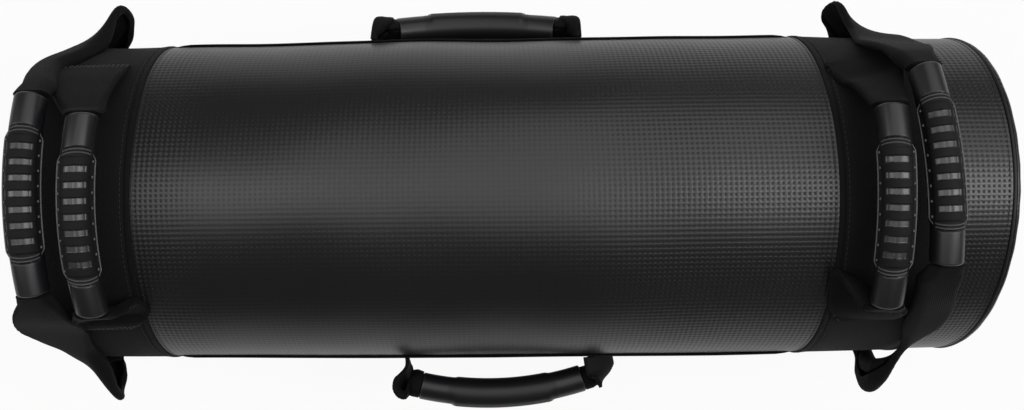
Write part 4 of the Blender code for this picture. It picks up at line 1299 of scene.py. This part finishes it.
def camera_and_light():
    """The photograph's camera straight above, and plain soft studio light."""
    data = bpy.data.cameras.new("photo_camera")
    data.sensor_width = SENSOR_WIDTH
    data.lens = FOCAL_PIXELS / PHOTO_WIDTH * SENSOR_WIDTH
    data.shift_x = 0.5 - FOOT_PIXEL / PHOTO_WIDTH
    camera = linked("photo_camera", data)
    camera.location = CAMERA_PLACE
    camera.rotation_euler = (0, 0, math.radians(CAMERA_ROLL))
    bpy.context.scene.camera = camera
    for name, (place, size, power) in LAMPS.items():
        lamp = bpy.data.lights.new(name, "AREA")
        lamp.shape = "RECTANGLE"
        lamp.size, lamp.size_y = size
        lamp.energy = power
        holder = linked(name, lamp)
        holder.location = place
        aim = np.array([place[0] * 0.2, 0, 0.12]) - np.array(place)
        holder.rotation_euler = Vector(aim).to_track_quat("-Z", "Y").to_euler()


def pale_floor():
    """A pale surface with a white glow for the camera and a weaker one for reflections."""
    floor = Finish("pale_floor", Base_Color=(FLOOR_SHADE,) * 3 + (1,), Roughness=0.9,
                   Specular_IOR_Level=0.0)
    camera, glossy, through = (
        floor.node("ShaderNodeLightPath", output=f"Is {ray} Ray")
        for ray in ("Camera", "Glossy", "Transmission"))
    y = floor.parts(floor.place())[1]
    front = (y * -1.2 + 0.5).clamped()
    fade = (y.math("ABSOLUTE", y) * -1.2 + 1.15).clamped()
    glow = (front * (FRONT_GLOW - BACK_GLOW) + BACK_GLOW) * fade
    share = (camera * SEEN_GLOW).larger(glossy.larger(through) * glow)
    shown = floor.node("ShaderNodeMixShader", {0: share, 1: floor.surface.outputs[0],
                                               2: floor.node("ShaderNodeEmission")})
    floor.tree.links.new(shown.socket, floor.tree.nodes["Material Output"].inputs[0])
    return floor.material


def studio():
    """A pale floor and a dim room."""
    mesh = bpy.data.meshes.new("studio_floor")
    corners = [(x * FLOOR_REACH, y * FLOOR_REACH, 0) for x, y in
               ((-1, -1), (1, -1), (1, 1), (-1, 1))]
    mesh.from_pydata(corners, [], [(0, 1, 2, 3)])
    mesh.materials.append(pale_floor())
    linked("studio_floor", mesh)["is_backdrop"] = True
    world = bpy.data.worlds.new("studio_room")
    world.use_nodes = True
    world.node_tree.nodes["Background"].inputs[0].default_value = (ROOM_SHADE,) * 3 + (1,)
    bpy.context.scene.world = world
    bpy.context.scene.view_settings.view_transform = "Standard"


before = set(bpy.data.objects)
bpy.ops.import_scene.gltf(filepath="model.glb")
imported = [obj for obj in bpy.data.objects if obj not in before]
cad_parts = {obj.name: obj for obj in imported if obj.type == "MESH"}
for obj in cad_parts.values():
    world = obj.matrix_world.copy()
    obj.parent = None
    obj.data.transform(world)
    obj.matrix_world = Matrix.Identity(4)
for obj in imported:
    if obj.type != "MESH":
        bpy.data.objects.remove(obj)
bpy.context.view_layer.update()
camera_and_light()
studio()

LEATHER = embossed_leather()
BAND_CLOTH = woven_nylon("band_nylon", 0.0034, 0.0011)
BINDING = woven_nylon("hem_binding", 0.0012, 0.0008, roughness=0.75)
WEBBING = heavy_webbing()
CORD_COVER = plain_cloth("piping_cord", (0.008, 0.008, 0.009), 0.45, 900.0, 0.0001)
GRIP_RUBBER = grip_rubber()
# A far lighter copy of the grip rubber: a painted highlight on the nubs and the lips.
HIGHLIGHT_RUBBER = plain_cloth("grip_rubber_painted_highlight", (0.085, 0.085, 0.090), 0.4, 900.0, 0.00002)
THREAD = plain_cloth("stitching_thread", (0.018, 0.018, 0.020), 0.55, 3000.0, 0.00004)
# The strap roots' stitches are real; their thread is lighter than the seams' as a painted highlight
# along the strap's root fold.
ROOT_HIGHLIGHT_THREAD = plain_cloth("root_thread_painted_highlight", (0.040, 0.040, 0.043), 0.5, 3000.0, 0.00004)
METAL = plated_metal()
FOAM = plain_cloth("padding_foam", (0.25, 0.25, 0.26), 0.9, 700.0, 0.0005)
FILLER_CLOTH = plain_cloth("filler_cloth", (0.55, 0.50, 0.40), 0.85, 900.0, 0.0003)
ZIP_CLOTH = woven_nylon("zip_tape_cloth", 0.0060, 0.0008, roughness=0.8)
TIE_WEBBING = woven_nylon("tie_webbing", 0.0100, 0.0009, roughness=0.8)
BEADS = bead_tree()

sleeve = keep(outer_sleeve(LEATHER), "bag", "embossed_leather", "outer_sleeve")
hem = HEM_WIDTH + SEAM_GAP
for side, start, end in (("left", LEFT_X + SLEEVE_END, BAND_EDGE_LEFT - hem),
                         ("right", BAND_EDGE_RIGHT + SEAM_GAP + hem, RIGHT_BAND_END - hem)):
    profile = layer_profile(start, end, -BAND_DEPTH, BAND_PROUD, 0.0004)
    band = keep(wrap(side + "_woven_band", profile, BAND_CLOTH), "bag", "band_nylon",
                side + "_band")
for place, start in (("left_band", BAND_EDGE_LEFT - HEM_WIDTH),
                     ("right_band_inner", BAND_EDGE_RIGHT + SEAM_GAP),
                     ("right_band_outer", RIGHT_BAND_END - HEM_WIDTH)):
    profile = layer_profile(start, start + HEM_WIDTH, -BAND_DEPTH, HEM_PROUD, 0.0009, step=0.001)
    keep(wrap(place + "_binding", profile, BINDING), "bag", "hem_binding", place + "_hem")

panels = {end: end_panel(end + "_leather_end", side, LEATHER)
          for end, side in (("right", 1), ("left", -1))}
cut_slot(panels["left"])
for end, panel in panels.items():
    keep(panel, "bag", "embossed_leather", end + "_end_panel")
zip_tape()
slot_stitches()
slider_and_puller()
zip_stops()
filling()
for end, side in (("left", -1), ("right", 1)):
    keep(piping(end + "_covered_cord", side, CORD_COVER), "bag", "piping_cord", end + "_piping")
for place, side in (("front", -1), ("back", 1)):
    keep(side_strip(place + "_webbing_strip", side, WEBBING), "bag", "webbing_nylon",
         place + "_side_strip")

seams = ((BAND_EDGE_LEFT - HEM_WIDTH - STITCH_FROM_HEM, BAND_PROUD),
         (BAND_EDGE_LEFT + STITCH_FROM_BAND, 0.0),
         (BAND_EDGE_RIGHT - STITCH_FROM_BAND, 0.0),
         (BAND_EDGE_RIGHT + SEAM_GAP + HEM_WIDTH + STITCH_FROM_HEM, BAND_PROUD),
         (RIGHT_BAND_END - HEM_WIDTH - STITCH_FROM_HEM, BAND_PROUD),
         (RIGHT_BAND_END + STITCH_FROM_BAND, 0.0),
         (RIGHT_X - PANEL_ROUNDING - STITCH_FROM_PIPING, 0.0),
         (LEFT_X + PANEL_ROUNDING + STITCH_FROM_PIPING, BAND_PROUD))
rounds = [skin(x, np.linspace(0, math.tau, 240), lift) for x, lift in seams]
add_beads("seam_stitches", rounds, SEAM_STITCH, THREAD)

inner_root = math.cos(math.radians(INNER_ROOT_ANGLE))
CROSS_HANDLES = (
    Handle("left_inner", -0.281, 0, inner_root, -0.0056, 4, lean=12.6, roll=-3.6, yaw=-1.6),
    Handle("left_outer", -0.281, 0, 0, -0.0016, 23, lean=-8.8, roll=1.9, yaw=-1.3),
    Handle("right_inner", 0.239, 0, inner_root, 0.0036, -9, lean=-11.4, roll=-3.5, yaw=1.3),
    Handle("right_outer", 0.239, 0, 0, 0.0008, -19, lean=7.1, roll=7.0, yaw=-1.9),
)
SIDE_HANDLES = (
    Handle("front_side", -0.0098, -1, 1, 0.0, -58, swing=0, tilt=2.1),
    Handle("back_side", -0.026, 1, 1, 0.0, 0, swing=-57, tilt=0),
)

for handle in CROSS_HANDLES:
    top, bottom = (across_rows(handle, end, hug)
                   for end, hug in zip(("top", "bottom"), HUGS.get(handle.name, USUAL_HUGS)))
    mouth = gathered_rows(handle, [1.0], MOUTH_WIDTH, MOUTH_RISE, 0.9, 1)
    middle = strap_surface(handle, top, bottom, mouth, SEAT_HEIGHT)
    low = AXIS_HEIGHT + (INNER_BLEND_START if handle.hinge_height else 0)
    dress_handle(handle, middle, (handle.x, 0, low),
                 (handle.x, 0, AXIS_HEIGHT + handle.end_height))
    stitched = [stitch_row(middle, row) for row in STITCHED_ROWS]
    # Stitches near both seams of the strap, in the lighter thread: real stitching that also carries
    # a painted highlight.
    add_beads(handle.name + "_root_stitches", stitched, ROOT_STITCH, ROOT_HIGHLIGHT_THREAD)

for handle in SIDE_HANDLES:
    ends = [side_rows(handle, end) for end in ("left", "right")]
    if handle.side > 0:
        ends.reverse()
    middle = strap_surface(handle, *ends, curled_rows(handle), SIDE_SEAT_HEIGHT)
    turn = math.radians(handle.turns["swing"])
    out = np.array([0, handle.side * math.cos(turn), math.sin(turn)])
    root = np.array([handle.x, handle.side * handle.hinge_height, AXIS_HEIGHT])
    dress_handle(handle, middle, *(root + out * reach for reach in SIDE_BLEND))

low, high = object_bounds()
